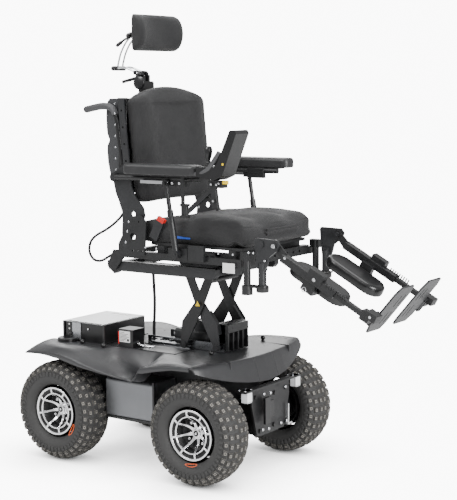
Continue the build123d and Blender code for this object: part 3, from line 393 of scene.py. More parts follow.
# ---------------------------------------------------------------- soft pieces
def soft_copy(name, node, voxel, smooth, shape=None, pressure=0.0, material="upholstery"):
    """A cushion grown from a piece's solid: an even mesh, eased edges, a shape given as a function of
    millimetre vertices, then a short inflation as cloth so the cover draws tight over its seams."""
    me = NODES[node].data.copy()
    me.materials.clear()
    o = bpy.data.objects.new(name, me)
    bpy.context.scene.collection.objects.link(o)
    rm = o.modifiers.new("Even", "REMESH")
    rm.mode = "VOXEL"
    rm.voxel_size = voxel * MM
    sm = o.modifiers.new("Ease", "SMOOTH")
    sm.factor = 0.5
    sm.iterations = smooth
    settle(o)
    v = np.zeros(len(o.data.vertices) * 3, np.float32)
    o.data.vertices.foreach_get("co", v)
    v = v.reshape(-1, 3).astype(float) / MM
    v[:, 0] -= SHIFT
    if shape is not None:
        v = shape(v)
        o.data.vertices.foreach_set("co", place(v).astype(np.float32).ravel())
    if pressure > 0:
        inflate(o, pressure)
    o.data.polygons.foreach_set("use_smooth", [True] * len(o.data.polygons))
    o.data.materials.clear()
    o.data.materials.append(MATS[material])
    o.data.update()
    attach(o, NODES[node]["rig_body"])
    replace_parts(o, node)
    return o


def settle(o):
    """Applies an object's modifiers by taking its evaluated mesh."""
    bpy.context.view_layer.update()
    dg = bpy.context.evaluated_depsgraph_get()
    me = bpy.data.meshes.new_from_object(o.evaluated_get(dg))
    o.modifiers.clear()
    o.data = me


def inflate(o, pressure):
    """Twenty frames of cloth under pressure, with no gravity."""
    c = o.modifiers.new("Cloth", "CLOTH")
    c.settings.use_pressure = True
    c.settings.uniform_pressure_force = pressure
    c.settings.effector_weights.gravity = 0
    c.settings.quality = 5
    c.settings.tension_stiffness = c.settings.compression_stiffness = 40
    c.settings.bending_stiffness = 2
    c.point_cache.frame_start, c.point_cache.frame_end = 1, 20
    sc = bpy.context.scene
    for f in range(1, 21):
        sc.frame_set(f)
    settle(o)
    sc.frame_set(1)


def bumps(v, spots):
    """Sum of smooth bumps: each spot is (axis values centre, radii, height)."""
    total = np.zeros(len(v))
    for centre, radii, height in spots:
        d = sum(((v[:, i] - centre[i]) / radii[i]) ** 2 for i in range(3) if radii[i])
        total += height * np.exp(-d)
    return total


def groove(distance, width, depth):
    """A seam: a narrow valley around distance 0."""
    return -depth * np.exp(-(distance / width) ** 2)


def seat_shape(v):
    """Seat cushion: raised thigh supports at both sides, a pommel between the legs, a well at the rear,
    a waterfall front edge, a piping seam round the side and a few soft creases."""
    top = np.clip((v[:, 2] - 870) / 60, 0, 1)
    v[:, 2] += top * bumps(v, [((300, -175, 0), (130, 60, 0), 16), ((300, 175, 0), (130, 60, 0), 16),
                               ((400, 0, 0), (90, 45, 0), 9), ((110, 0, 0), (130, 120, 0), -14),
                               ((420, -95, 0), (120, 40, 0), -8), ((420, 95, 0), (120, 40, 0), -8),
                               ((476, -150, 0), (30, 80, 0), -10), ((476, 150, 0), (30, 80, 0), -10)])
    side = np.abs(v[:, 1]) > 205
    seam = groove(v[:, 2] - 905, 3.0, 2.2) + groove(v[:, 2] - 846, 3.0, 2.0)
    v[:, 1] += np.sign(v[:, 1]) * np.where(side, seam, 0)
    front = v[:, 0] > 470
    v[:, 0] += np.where(front, seam, 0)
    v[:, 0] += np.where(front, -9 * np.clip(1 - np.abs(v[:, 2] - 868) / 60, 0, 1) * (np.abs(v[:, 1]) / 210) ** 2, 0)
    arch = bumps(v, [((430, -215, 838), (22, 30, 24), 14)])
    v[:, 2] += np.where(v[:, 1] < -150, arch, 0)
    wave = 0.6 * np.sin(v[:, 0] / 17 + v[:, 1] / 31) * np.sin(v[:, 1] / 23 - v[:, 0] / 60)
    v[:, 2] += top * wave
    v[:, 1] += np.where(side, 1.6 * np.sin(v[:, 0] / 26 + v[:, 2] / 11), 0)
    return v


def back_shape(v):
    """Back cushion: side bolsters that stand forward, an arched crown, a seam down each side and a
    short dart near the top."""
    z = (v[:, 2] - 965) / 380
    lean = -37 - (v[:, 2] - 815) * math.tan(math.radians(5.5))
    front = np.clip((v[:, 0] - lean - 45) / 30, 0, 1)
    side = np.abs(v[:, 1])
    v[:, 0] += front * (9 * np.exp(-((side - 165) / 45) ** 2) - 7 * np.exp(-(v[:, 1] / 110) ** 2) * (z < 0.95))
    rim = side > 185
    v[:, 1] += np.sign(v[:, 1]) * np.where(rim, groove(v[:, 0] - lean - 62, 3, 2.5), 0)
    v[:, 0] += front * 0.4 * np.sin(v[:, 2] / 21 + v[:, 1] / 40) * np.sin(v[:, 1] / 33)
    return v


def head_shape(v):
    """Headrest: its two wings reach furthest forward at mid-height, so each end is a D in side view."""
    dz = (v[:, 2] - 1580) / 67.5
    reach = (np.abs(v[:, 1]) / 130) ** 1.6 * (1 - np.sqrt(np.clip(1 - dz ** 2, 0, 1)))
    back = -112 + 38 * (v[:, 1] / 134) ** 2
    front = np.clip((v[:, 0] - back) / 50, 0, 1)
    v[:, 0] -= front * reach * 58
    v[:, 0] += np.where(v[:, 0] < back + 8, groove(dz * 70, 4, 1.5), 0)
    return v


# ---------------------------------------------------------------- tyres
TYRE_MID, TYRE_UP, TYRE_HALF = 136.0, 43.0, 67.0


def tyre_section(phi):
    """Carcass section: phi 0 is the outer sidewall, 90 degrees the crown; |y/67|^2.5 + |dr/43|^2.5 = 1."""
    c, s = np.cos(phi), np.sin(phi)
    k = (np.abs(c) ** 2.5 + np.abs(s) ** 2.5) ** (-1 / 2.5)
    return TYRE_MID + TYRE_UP * s * k, TYRE_HALF * c * k


def tyre(name, node, cx, cy, out):
    """A knobbed tyre: carcass rows (angle, section), then blocks laid on it in staggered rows, each with
    corners (across, along) and a top; the lug attribute carries the place on the block."""
    nu, nv = 120, 44
    phi = np.concatenate([np.linspace(-0.92, math.pi + 0.92, nv)])
    r, y = tyre_section(phi)
    r = np.where(phi < -0.0, np.maximum(r, 90), r)
    r = np.maximum(r, 89)
    ang = np.linspace(0, 2 * math.pi, nu, endpoint=False)
    rr = np.outer(np.ones(nu), r)
    line = np.exp(-((phi - 0.30) / 0.03) ** 2) * 1.2
    rr = rr + line
    verts = [np.stack([rr * np.cos(ang)[:, None], np.outer(np.ones(nu), y), rr * np.sin(ang)[:, None]], 2)]
    verts = [verts[0].reshape(-1, 3)]
    faces = [grid_faces(nu, nv, wrap_u=True)]
    lug = [np.zeros((nu * nv, 3))]
    base = nu * nv
    rows = []
    for k, (p, wide, long_) in enumerate(((90, 15, 21), (70, 15, 20), (110, 15, 20), (50, 15, 20), (130, 15, 20),
                                          (31, 16, 19), (149, 16, 19))):
        rows.append((math.radians(p), 34, 0.5 * (k % 2 == 1) + 0.25 * (k > 4), wide, long_, 6.0, 1.0))
    for p in (8, 172):
        rows.append((math.radians(p), 52, 0.0, 17, 10, 2.6, 0.0))
    for p, count, phase, wide, long_, high, takes_painted_highlight in rows:
        t = (np.arange(count) + phase) / count * 2 * math.pi
        step = 1e-3
        r0, y0 = tyre_section(np.array([p]))
        r1, y1 = tyre_section(np.array([p + step]))
        tr, ty = (r1 - r0)[0], (y1 - y0)[0]
        ln = math.hypot(tr, ty)
        tr, ty = tr / ln, ty / ln
        nr, ny = -ty, tr
        if nr * (r0[0] - TYRE_MID) + ny * y0[0] < 0:
            nr, ny = -nr, -ny
        for size, up, mark in ((1.0, -1.5, 1.0), (0.94, high * 0.75, 0.97), (0.80, high, 0.80)):
            for a, b_ in ((-1, -1), (1, -1), (1, 1), (-1, 1)):
                h = a * wide / 2 * size
                s = b_ * long_ / 2 * size
                rad = r0[0] + tr * h + nr * up
                yy = y0[0] + ty * h + ny * up
                verts.append(np.stack([rad * np.cos(t) - s * np.sin(t), np.full(count, yy),
                                       rad * np.sin(t) + s * np.cos(t)], 1))
                lug.append(np.tile([a * mark, b_ * mark, takes_painted_highlight], (count, 1)))
        idx = base + np.arange(count)
        ring = lambda level, corner: idx + (level * 4 + corner) * count
        for level in (0, 1):
            for c in range(4):
                d = (c + 1) % 4
                faces.append(np.stack([ring(level, c), ring(level, d), ring(level + 1, d), ring(level + 1, c)], 1))
        faces.append(np.stack([ring(2, 0), ring(2, 1), ring(2, 2), ring(2, 3)], 1))
        base += 12 * count
    v = np.concatenate(verts)
    v[:, 1] *= out
    v += (cx, cy, 185)
    f = np.concatenate(faces)
    o = mesh_object(name, v, f, "tyre", "wheel_" + name[5:], attribute=("lug", np.concatenate(lug)))
    smooth_by_angle(o, 30)
    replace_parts(o, node)
    mark = Kit(name + "_mark", "wheel_" + name[5:], "orange_mark")
    t = np.linspace(0, 2 * math.pi, 40, endpoint=False)
    a0, mid = (-0.52, 112) if cx < 0 else (-1.43, 101)
    if out > 0:
        a0 = math.pi - a0
    for k, (half_long, half_wide) in enumerate(((27, 6.5), (23, 3.6))):
        rad = mid + half_wide * np.sin(t)
        aa = a0 + half_long * np.cos(t) / mid
        yy = 66.6             # just proud of the sidewall
        mark_v = np.stack([cx + rad * np.cos(aa), np.full(40, cy + out * yy), 185 + rad * np.sin(aa)], 1)
        if k == 0:
            outer = mark_v
        else:
            mark.add(np.concatenate([outer, mark_v]), [(i, (i + 1) % 40, 40 + (i + 1) % 40, 40 + i) for i in range(40)])
    for k in range(5):
        aa = a0 + (k - 2) * 7.5 / mid
        e, tt = np.array((math.cos(aa), 0, math.sin(aa))), np.array((-math.sin(aa), 0, math.cos(aa)))
        c0 = np.array((cx, cy + out * 66.8, 185))
        q = [c0 + e * (mid + dr) + tt * dt for dr, dt in ((-3, -1.6), (3, -1.6), (3, 1.6), (-3, 1.6))]
        mark.add(q, [(0, 1, 2, 3), (3, 2, 1, 0)])
    mark.done()


for label, cx, cy, out in (("front_right", 316, -273, -1), ("front_left", 316, 273, 1),
                           ("rear_right", -316, -273, -1), ("rear_left", -316, 273, 1)):
    tyre("tyre_" + label, "tyre_" + label, cx, cy, out)

# ---------------------------------------------------------------- CAD finishes
slot_of = {s["node"]: s["material_slot"] for s in frame["record"]["subparts"]}
for node, o in NODES.items():
    o.data.materials.clear()
    o.data.materials.append(MATS[slot_of[node]])

NODES["control_modules"].data.materials[0] = MATS["gloss_black"]
soft_copy("seat_pad", "seat_cushion", 6, 14, seat_shape, pressure=0.9)
soft_copy("back_pad", "back_cushion", 6, 22, back_shape, pressure=0.5)
soft_copy("head_pad", "headrest_pad", 4, 10, head_shape)
for side in ("right", "left"):
    soft_copy("arm_rest_pad_" + side, "arm_pad_" + side, 4, 6, material="pad_skin")
    soft_copy("leg_pad_" + side, "calf_pad_" + side, 4, 6, material="gloss_black")


# ---------------------------------------------------------------- wheel alloys
def wheel_alloy(label, cx, cy, out):
    """A machined alloy: an outer and an inner ring joined by eight short bars, eight curved spokes that
    run in to a sunken hub, and lug bolts on the black dish between them."""
    body = "wheel_" + label
    hub, axis = (cx, cy, 185), (0, out, 0)
    bright = Kit("alloy_" + label, body, "rim_bright", 0.5)
    bright.ring(hub, axis, [(46, 90), (49, 91), (51.5, 90), (51.5, 84.5), (49, 82.5), (44, 82.5)])
    bright.ring(hub, axis, [(44, 62.5), (48.5, 62.5), (50.5, 64), (50.5, 67), (48.5, 68.5), (44, 68.5)])
    black = Kit("alloy_dish_" + label, body, "rim_black")
    black.ring(hub, axis, [(46, 89.5), (46, 82), (42, 70), (38, 66), (14, 60), (4, 48), (2, 20), (-2, 20), (-2, 60),
                           (30, 72), (30, 82), (-44, 84), (-50, 90.5), (-52, 90.5), (-52, 89)])
    for k in range(8):
        a = (k + 0.28) * math.pi / 4
        e = np.array((math.cos(a), 0, math.sin(a)))
        t = np.array((-math.sin(a), 0, math.cos(a)))
        y = np.array((0, out, 0))
        path = ((83, 49.5, 3.4), (67, 49.5, 3.4), (66, 49.0, 4.4), (60, 43, 3.6), (52, 32, 3.4), (43, 21, 3.8),
                (33, 13.5, 4.8), (20, 10.5, 6.5))
        v, f = [], []
        for r, h, w in path:
            for side, deep in ((-1, 0), (1, 0), (1, -6), (-1, -6)):
                v.append(np.array(hub) + e * r + y * (h + deep) + t * side * w)
        for i in range(len(path) - 1):
            if i == 1:
                continue
            for c in range(4):
                f.append((i * 4 + c, i * 4 + (c + 1) % 4, i * 4 + 4 + (c + 1) % 4, i * 4 + 4 + c))
        for i, order in ((0, (3, 2, 1, 0)), (1, (0, 1, 2, 3)), (2, (3, 2, 1, 0)), (len(path) - 1, (0, 1, 2, 3))):
            f.append(tuple(i * 4 + c for c in order))
        bright.add(v, f)
        am = a + math.pi / 8
        em = np.array((math.cos(am), 0, math.sin(am)))
        if k % 2 == 0:
            bright.bolt(np.array(hub) + em * 41 + y * 7, axis, 6.0, 6)
    bright.lathe(hub, axis, [(2, 24), (9, 24), (12, 21), (12, 17), (17, 16), (18, 13.5)], 36)
    black.lathe(np.array(hub) + np.array((0, out * 17.6, 0)), axis, [(0, 10.5), (0.9, 10.5), (1.2, 9.5)], 24)
    bright.bolt(np.array(hub) + np.array((0, out * 18.2, 0)), axis, 4.5, 2.5)
    black.done()
    o = bright.done()
    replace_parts(o, "rim_" + label)


for label, cx, cy, out in (("front_right", 316, -273, -1), ("front_left", 316, 273, 1),
                           ("rear_right", -316, -273, -1), ("rear_left", -316, 273, 1)):
    wheel_alloy(label, cx, cy, out)


# ---------------------------------------------------------------- body cover
def along_table(x, xs, rows):
    """Cubic Hermite through table rows at xs, with central slopes: smooth, no overshoot worth seeing."""
    xs, rows = np.asarray(xs, float), np.asarray(rows, float)
    slope = np.gradient(rows, xs, axis=0)
    i = np.clip(np.searchsorted(xs, x, side="right") - 1, 0, len(xs) - 2)
    h = (xs[i + 1] - xs[i])[:, None]
    u = ((x - xs[i])[:, None]) / h
    return ((2 * u ** 3 - 3 * u ** 2 + 1) * rows[i] + (u ** 3 - 2 * u ** 2 + u) * h * slope[i]
            + (3 * u ** 2 - 2 * u ** 3) * rows[i + 1] + (u ** 3 - u ** 2) * h * slope[i + 1])


# height of the cover at |Y| = 188, 230, 260, 290, 320, 337 and of its lower edge, station by station
COVER_Y = (188, 230, 260, 290, 320, 337)
STATIONS = np.array([
    (-467, 420, 417, 412, 405, 397, 394, 391), (-440, 427, 425, 421, 415, 406, 401, 394),
    (-400, 428, 429, 428, 423, 413, 406, 397), (-350, 428, 431, 431, 429, 419, 410, 397),
    (-310, 428, 431, 433, 432, 424, 411, 393), (-270, 428, 431, 433, 431, 422, 408, 388),
    (-220, 428, 430, 431, 425, 413, 399, 378), (-170, 428, 427, 421, 411, 398, 386, 369),
    (-123, 428, 417, 407, 397, 386, 376, 364), (-76, 428, 406, 399, 389, 377, 367, 358),
    (-30, 428, 393, 387, 379, 369, 361, 355), (10, 428, 381, 372, 370, 362, 357, 353),
    (45, 428, 370, 352, 356, 356, 355, 352), (70, 428, 366, 343, 341, 348, 352, 350),
    (84, 428, 384, 356, 350, 358, 366, 364), (97, 428, 408, 386, 380, 385, 391, 379),
    (112, 428, 423, 412, 404, 401, 401, 381), (135, 428, 428, 423, 416, 410, 405, 386),
    (165, 428, 429, 428, 425, 418, 411, 393), (205, 428, 430, 430, 429, 425, 417, 401),
    (244, 428, 430, 431, 431, 428, 421, 408), (285, 428, 430, 431, 431, 430, 425, 410),
    (322, 428, 430, 431, 431, 430, 427, 411)], float)


def strip(path_rows):
    """Vertices and quads of a closed loop of points carried through rows."""
    v = np.array(path_rows)
    return v.reshape(-1, 3), grid_faces(v.shape[0], v.shape[1], wrap_v=True)


def cover_wing(side):
    """One wing: rows along X, each a loop out over the shoulder, round the lower edge and back inside."""
    x = np.linspace(-467, 322, 200)
    table = along_table(x, STATIONS[:, 0], STATIONS[:, 1:])
    yy = np.linspace(188, 337, 40)
    shrink = np.interp(x, (-467, -458, -445, -425), (0.72, 0.90, 0.98, 1.0))
    rows = []
    for xi, row, k in zip(x, table, shrink):
        z = along_table(yy, COVER_Y, row[:6, None])[:, 0]
        top = np.stack([np.full(40, xi), yy, z], 1)
        lip = np.array([(xi, 339.3, row[5] - 3), (xi, 340, row[5] - 6), (xi, 340, row[6] + 2), (xi, 338, row[6]),
                        (xi, 336, row[6] + 1)])
        inner = np.stack([np.full(40, xi), yy[::-1] - 1.5, z[::-1] - 3.5], 1)
        loop = np.vstack([top, lip, inner])
        loop[:, 1] = side * (188 + (loop[:, 1] - 188) * k)
        rows.append(loop)
    v, f = strip(rows)
    ends = [tuple(range(len(rows[0]) - 1, -1, -1)), tuple(range(len(v) - len(rows[0]), len(v)))]
    return v, [tuple(q) for q in f] + ends


def cover_nose():
    """The nose: columns across Y, each a loop over the flat top, down the bowed face and back inside."""
    ys = np.sort(np.concatenate([np.linspace(-337, 337, 85), (-61.5, -60, -58.5, 58.5, 60, 61.5)]))
    a = np.abs(ys)
    top_x = np.interp(a, (0, 60, 120, 180, 231, 280, 310, 328, 337), (405, 403, 397, 388, 379, 367, 358, 350, 343))
    bot_x = np.interp(a, (0, 60, 120, 180, 231, 280, 310, 328, 337), (433, 431, 423, 409, 395, 380, 369, 359, 350))
    bot_z = np.interp(a, (0, 60, 120, 180, 231, 280, 320, 337), (336, 340, 347, 358, 370, 385, 399, 407))
    start = np.where(a < 190, 150, 321)
    crown = np.interp(a, (188, 260, 320, 337), (428, 431, 430, 427))
    rows = []
    for y, x0, x1, x2, zb, zt in zip(ys, start, top_x, bot_x, bot_z, crown):
        dent = 2.2 if abs(abs(y) - 60) < 0.1 else 0.0
        t = np.linspace(0, 1, 14)
        flat = np.stack([x0 + (x1 - 9 - x0) * t, np.full(14, y), zt + (425.5 - zt) * t ** 3], 1)
        r = np.linspace(0, 1, 9)[1:]
        face = np.stack([x1 + (x2 - x1) * r ** 0.85 - dent, np.full(8, y), 420 + (zb - 420) * r], 1)
        edge = np.array([(x1 - 4, y, 424.6), (x1 - 1.2 - dent, y, 422.6)])
        back = np.array([(x2 - 3, y, zb - 1.2), (x2 - 6, y, zb + 1), (x1 - 7, y, 418), (x0, y, zt - 4.5)])
        rows.append(np.vstack([flat, edge, face, back]))
    v, f = strip(rows)
    n = len(rows[0])
    return v, [tuple(q) for q in f] + [tuple(range(n - 1, -1, -1)), tuple(range(len(v) - n, len(v)))]


cover = Kit("cover", "base", "cover_plastic")
for side in (-1, 1):
    cover.add(*cover_wing(side))
cover.add(*cover_nose())
for side in (-1, 1):
    y0, y1 = sorted((side * 186, side * 189.5))
    cover.box((-392, y0, 402), (395, y1, 428))
cover_object = cover.done(50)
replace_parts(cover_object, "body_cover")

# ---------------------------------------------------------------- trims on the base
dark = Kit("base_trim", "base", "frame_dark", 0.8)
gloss = Kit("base_gloss", "base", "gloss_black", 0.8)
silver = Kit("base_silver", "base", "silver_top", 1.0)
steel = Kit("base_steel", "base", "chrome_rod")
white = Kit("base_white", "base", "white_label")
ink = Kit("base_ink", "base", "label_ink")
red = Kit("base_red", "base", "button_red")
case = Kit("base_case", "base", "module_case", 0.8)
silver.box((-388, -184, 499), (-196, 66, 502))
case.box((-345, -185.5, 434), (-303, -183, 498))
dark.box((-394, -184, 440), (-386, -150, 500))
for z in (452, 472, 490):
    white.lathe((-394.2, -167, z), (-1, 0, 0), [(0, 3.5), (0.6, 3.5)], 16)
    white.lathe((-360, -184.4, z), (0, -1, 0), [(0, 3.2), (0.6, 3.2)], 16)
steel.bolt((-266, -184, 478), (0, -1, 0), 3.5, 2)
for x in (-330, -295, -262):
    white.box((x, 30, 502), (x + 26, 44, 502.8), turn=("Z", 28))
gloss.box((-360, -184, 500.5), (-198, -180, 503.5))
gloss.lathe((-350, -205, 429), (0, 0, 1), [(0, 36), (1, 38.5), (13, 38.5), (15, 36)], 48)
gloss.lathe((-352, -190, 444), (0, 0, 1), [(0, 7), (14, 7), (16, 5)], 20)
for x, y, z in ((-262, -222, 428), (-162, -219, 424), (267, -128, 427), (265, 206, 429)):
    gloss.lathe((x, y, z - 3), (0, 0, 1), [(0, 7.5), (4, 7.5), (6, 5)], 20)
    gloss.ball((x, y, z + 10), 9, 24)
red.box((-118, -185, 440), (-114.5, -150, 486))
white.box((-112, -184.9, 448), (-62, -183.8, 489))
for x0, x1, z in ((-109, -88, 484), (-109, -70, 478), (-109, -78, 473), (-109, -66, 468), (-109, -76, 463),
                  (-109, -82, 458), (-109, -90, 453)):
    ink.box((x0, -185.2, z - 0.9), (x1, -184.8, z + 0.9))
ink.box((-76, -185.2, 452), (-66, -184.8, 461))
for dy in (0, 7):
    white_wire = [(-50, -160 + dy, 452), (-36, -164 + dy, 442), (-20, -150 + dy, 434), (10, -140 + dy, 433)]
    steel.tube(white_wire, 1.6)
for k in range(5):
    x = -62 + k * 26
    white.box((x, -58 + 4 * k, 431), (x + 17, -55 + 4 * k, 434.5), turn=("Z", 12 * (-1) ** k))
    white.box((x + 3, -44 + 4 * k, 431), (x + 7, -28 + 4 * k, 434.5), turn=("Z", 20))
for x, y in ((-15, 36), (30, 28), (80, 34)):
    gloss.tube([(x - 40, y - 50, 433), (x, y - 20, 440), (x + 45, y - 60, 434)], 4.5)
for y0, y1 in ((-90, -84), (84, 90)):
    steel.box((-70, y0, 430), (140, y1, 434))
# scissor foot block with its ribs
dark.box((242, -64, 462), (283, 64, 532))
for k in range(5):
    y = -64 + k * 30.5
    dark.box((240, y, 432), (296, y + 6, 500))
dark.box((240, -64, 500), (297, 64, 530))
for y in (-34, 34):
    ink.lathe((297.2, y, 516), (1, 0, 0), [(0, 5), (0.4, 5)], 20)
# lamps: brackets, screws and a line round the lens
for side in (-1, 1):
    y = side * 154
    dark.box((412, min(y - 24, y + 24), 320), (452, max(y - 24, y + 24), 326))
    for dx, dy in ((420, -18), (444, -18), (420, 18), (444, 18)):
        steel.bolt((dx, y + dy, 326), (0, 0, 1), 3.6, 3)
    ink.box((452.0, y - 20, 286), (452.6, y - 18.8, 318))
    ink.box((452.0, y + 18.8, 286), (452.6, y + 20, 318))
    ink.box((452.0, y - 20, 286), (452.6, y + 20, 287.2))
# axle plate: ring bolts, casting and a bright corner
for y, z in ((-70, 300), (70, 300), (-28, 296), (-78, 172), (-40, 168), (40, 172), (78, 172)):
    steel.bolt((452.4, y, z), (1, 0, 0), 5.5, 4)
gloss.box((452.2, -72, 190), (462, -38, 286))
gloss.box((452.2, -34, 210), (458, -12, 270))
silver.box((440, 92, 160), (452, 98, 232))
silver.box((440, 84, 156), (456, 112, 164))
# battery cover: black lower edge and seam
for side in (-1, 1):
    y0, y1 = sorted((side * 244, side * 251.5))
    dark.box((-126, y0, 174), (101, y1, 184))
    dark.box((92, y0, 184), (101, y1, 330))
for kit in (dark, gloss, silver, steel, white, ink, red, case):
    kit.done()

mark = Kit("warning_mark", "lift_arm_outer", "yellow_mark")
mark.add([(183, -109.4, 597), (203, -109.4, 597), (193, -109.4, 615),
          (183, -107, 597), (203, -107, 597), (193, -107, 615)],
         [(0, 1, 2), (5, 4, 3), (0, 3, 4, 1), (1, 4, 5, 2), (2, 5, 3, 0)])
mark.done()

# ---------------------------------------------------------------- trims above the base
tag = Kit("belt_tag", "seat", "blue_tag", 0.5)
tag.box((188, -217, 853), (244, -209, 888))
tag.done()
buckle = Kit("buckle_body", "seat", "frame_grey", 3.0)
buckle.box((84, -229, 842), (121, -215, 918), turn=("Y", 26))
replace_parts(buckle.done(), "belt_buckle")
buckle_top = Kit("buckle_top", "belt_button", "button_red", 1.5)
buckle_top.box((106, -230, 908), (138, -214, 924), turn=("Y", 26))
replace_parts(buckle_top.done(), "belt_button")
strap = Kit("seat_strap", "seat", "upholstery", 1.0)
strap.tube([(483, -100, 880), (488, -92, 880), (489, 0, 880), (488, 92, 880), (483, 100, 880)], 3)
strap.box((484, -96, 870), (488.5, 96, 892))
strap.done()
label = Kit("seat_label", "seat", "white_label")
label.box((398, -237.5, 750), (448, -236.2, 784))
label.done()
chrome = Kit("seat_chrome", "seat", "chrome_rod", 0.5)
for x, z in ((505, 826), (525, 826)):
    chrome.bolt((x, -236, z), (0, -1, 0), 4, 3)
for x in (60, 110, 220, 300, 380, 440):
    chrome.bolt((x, -236, 815), (0, -1, 0), 3.6, 2.5)
chrome.done()
for side in (-1, 1):
    knob = Kit("receiver_knob_%d" % side, "seat", "gloss_black", 0.6)
    y = side * 206
    knob.lathe((541, y, 690), (0, 0, 1), [(0, 20), (3, 22), (20, 22), (24, 18), (26, 12)], 12)
    knob.done()
    name = "right" if side < 0 else "left"
    chrome = Kit("hanger_bolts_" + name, "hanger_" + name, "chrome_rod")
    chrome.bolt((595, side * 221, 852), (0, side, 0), 8, 5)
    chrome.bolt((560, side * 221, 800), (0, side, 0), 4, 3)
    chrome.done()
    leg = Kit("leg_trim_" + name, "leg_tube_" + name, "frame_dark", 0.8)
    leg.box((730, min(side * 194, side * 225), 745), (790, max(side * 194, side * 225), 779), turn=("Y", 28.2))
    for k in range(9):
        c = np.array((800 + 8.6 * k, 0, 735 - 4.6 * k))
        leg.box(c + (-2, min(side * 218, side * 223), -8), c + (2, max(side * 218, side * 223), 8), turn=("Y", 28.2))
    leg.done()
    chrome = Kit("leg_bolts_" + name, "leg_tube_" + name, "chrome_rod")
    chrome.bolt((757, side * 226, 752), (0, side, 0), 6.5, 4)
    chrome.ring((716, side * 224, 716), (0, 1, 0), [(-1.5, 8), (0, 6.5), (1.5, 8), (0, 9.5)], 32)
    chrome.bolt((640, side * 221, 815), (0, side, 0), 5, 3)
    chrome.done()
    foot = Kit("foot_clamp_" + name, "leg_extension_" + name, "frame_dark", 0.8)
    foot.box((942, min(side * 180, side * 219), 634), (984, max(side * 180, side * 219), 660), turn=("Y", 28.2))
    foot.done()
    chrome = Kit("foot_bolts_" + name, "leg_extension_" + name, "chrome_rod")
    chrome.bolt((962, side * 219, 646), (0, side, 0), 5, 3)
    chrome.done()
    bar_kit = Kit("arm_bar_" + name, "armrest_" + name, "chrome_rod", 0.6)
    y0, y1 = sorted((side * 250, side * 262))
    bar_kit.box((61, y0, 1047), (183, y1, 1058))
    bar_kit.bolt((205, side * 263, 1052), (0, side, 0), 5, 3)
    bar_kit.bolt((236, side * 263, 1052), (0, side, 0), 5, 3)
    bar_kit.done()
    clamp = Kit("arm_clamp_" + name, "armrest_" + name, "frame_dark", 0.8)
    y0, y1 = sorted((side * 228, side * 244))
    clamp.box((183, y0, 1040), (256, y1, 1078))
    clamp.done()
# headrest: ball joints, levers, bright arc and the black mount disc
arc = Kit("head_arc", "headrest_arm", "chrome_rod")
for y in (-14, 14):
    arc.tube([(-176, y, 1568), (-200, y, 1546), (-222, y, 1512), (-234, y, 1480), (-241, y, 1454)], 3.6)
arc_object = arc.done()
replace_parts(arc_object, "headrest_arm")
black = Kit("head_joint", "headrest_arm", "gloss_black", 0.5)
black.lathe((-172, -22, 1576), (0, 1, 0), [(0, 8), (2, 10), (42, 10), (44, 8)], 24)
black.ball((-176, -24, 1572), 11, 24)
black.tube([(-172, -28, 1566), (-196, -30, 1556), (-214, -30, 1543), (-226, -30, 1536)], 4.5)
black.lathe((-204, -30, 1551), (-0.86, 0, -0.5), [(0, 5), (4, 6.5), (24, 7), (30, 5.5)], 20)
black.done()
black = Kit("head_mount", "back", "gloss_black", 0.5)
black.lathe((-112, -40, 1398), (0, -1, 0), [(0, 22), (2, 24), (10, 24), (12, 21)], 36)
black.ball((-126, -26, 1430), 10, 20)
black.box((-205, -34, 1404), (-128, -27, 1415), turn=("Y", -12))
black.done()
link = Kit("head_link", "headrest_link", "chrome_rod", 0.8)
for y in (-20, 20):
    link.tube([(-241, y, 1454), (-205, y, 1456), (-165, y, 1444), (-134, y, 1430)], 4)
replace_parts(link.done(), "headrest_link")
black = Kit("head_link_joint", "headrest_link", "gloss_black", 0.5)
black.lathe((-243, -30, 1453), (0, 1, 0), [(0, 7), (2, 9), (58, 9), (60, 7)], 24)
black.ball((-250, -28, 1453), 9, 20)
black.lathe((-150, -26, 1436), (0, 1, 0), [(0, 6), (2, 8), (50, 8), (52, 6)], 24)
black.done()

# push handles: thick grips that bend down into black tubes
grip = Kit("push_grips", "back", "grip_grey")
tube = Kit("push_tubes", "back", "gloss_black")
for side in (-1, 1):
    y = side * 215
    grip.tube([(-222, y, 1303), (-190, y, 1309), (-150, y, 1315), (-116, y, 1313),
               (-96, y, 1302), (-86, y, 1284)], 12.5,
              n=20)
    grip.ball((-222, y, 1303), 12.4, 20)
    tube.tube([(-88, y, 1290), (-78, y, 1250), (-68, y, 1180), (-57, y, 1105)], 8.5, n=16)
tube.done()
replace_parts(grip.done(), "push_handles")

# back shell: two bulging panels with a waist between them, above them a shallow box
shell_z = (1000, 1010, 1040, 1075, 1110, 1150, 1172, 1184, 1192, 1200, 1214, 1240, 1280, 1310, 1332, 1342)
shell_x = (-104, -113, -132, -147, -155, -158, -157, -150, -146, -150, -156, -159, -160, -158, -152, -142)
zz = np.linspace(1000, 1342, 90)
xx = np.interp(zz, shell_z, shell_x)
yy = np.linspace(-1, 1, 49)
rows = []
for z, x in zip(zz, xx):
    wide = 200 - 26 * np.clip((1080 - z) / 80, 0, 1) ** 2
    outer = np.stack([x - 34 * (1 - yy ** 2) + 20 * np.abs(yy) ** 10, yy * wide, np.full(49, z)], 1)
    inner = np.array([(-62, wide - 2, z), (-62, -wide + 2, z)])
    rows.append(np.vstack([outer, inner]))
shell = Kit("shell", "back", "shell_grey")
v, f = strip(rows)
shell.add(v, [tuple(q) for q in f] + [tuple(range(50, -1, -1)), tuple(range(len(v) - 51, len(v)))])
shell_object = shell.done(50)
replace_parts(shell_object, "back_shell")
pan = Kit("back_pan", "back", "gloss_black", 1.0)
for side in (-1, 1):
    y0, y1 = sorted((side * 196, side * 205))
    pan.box((-84, y0, 1000), (-44, y1, 1345))
pan.done()
glint = Kit("back_glints", "back", "chrome_rod")
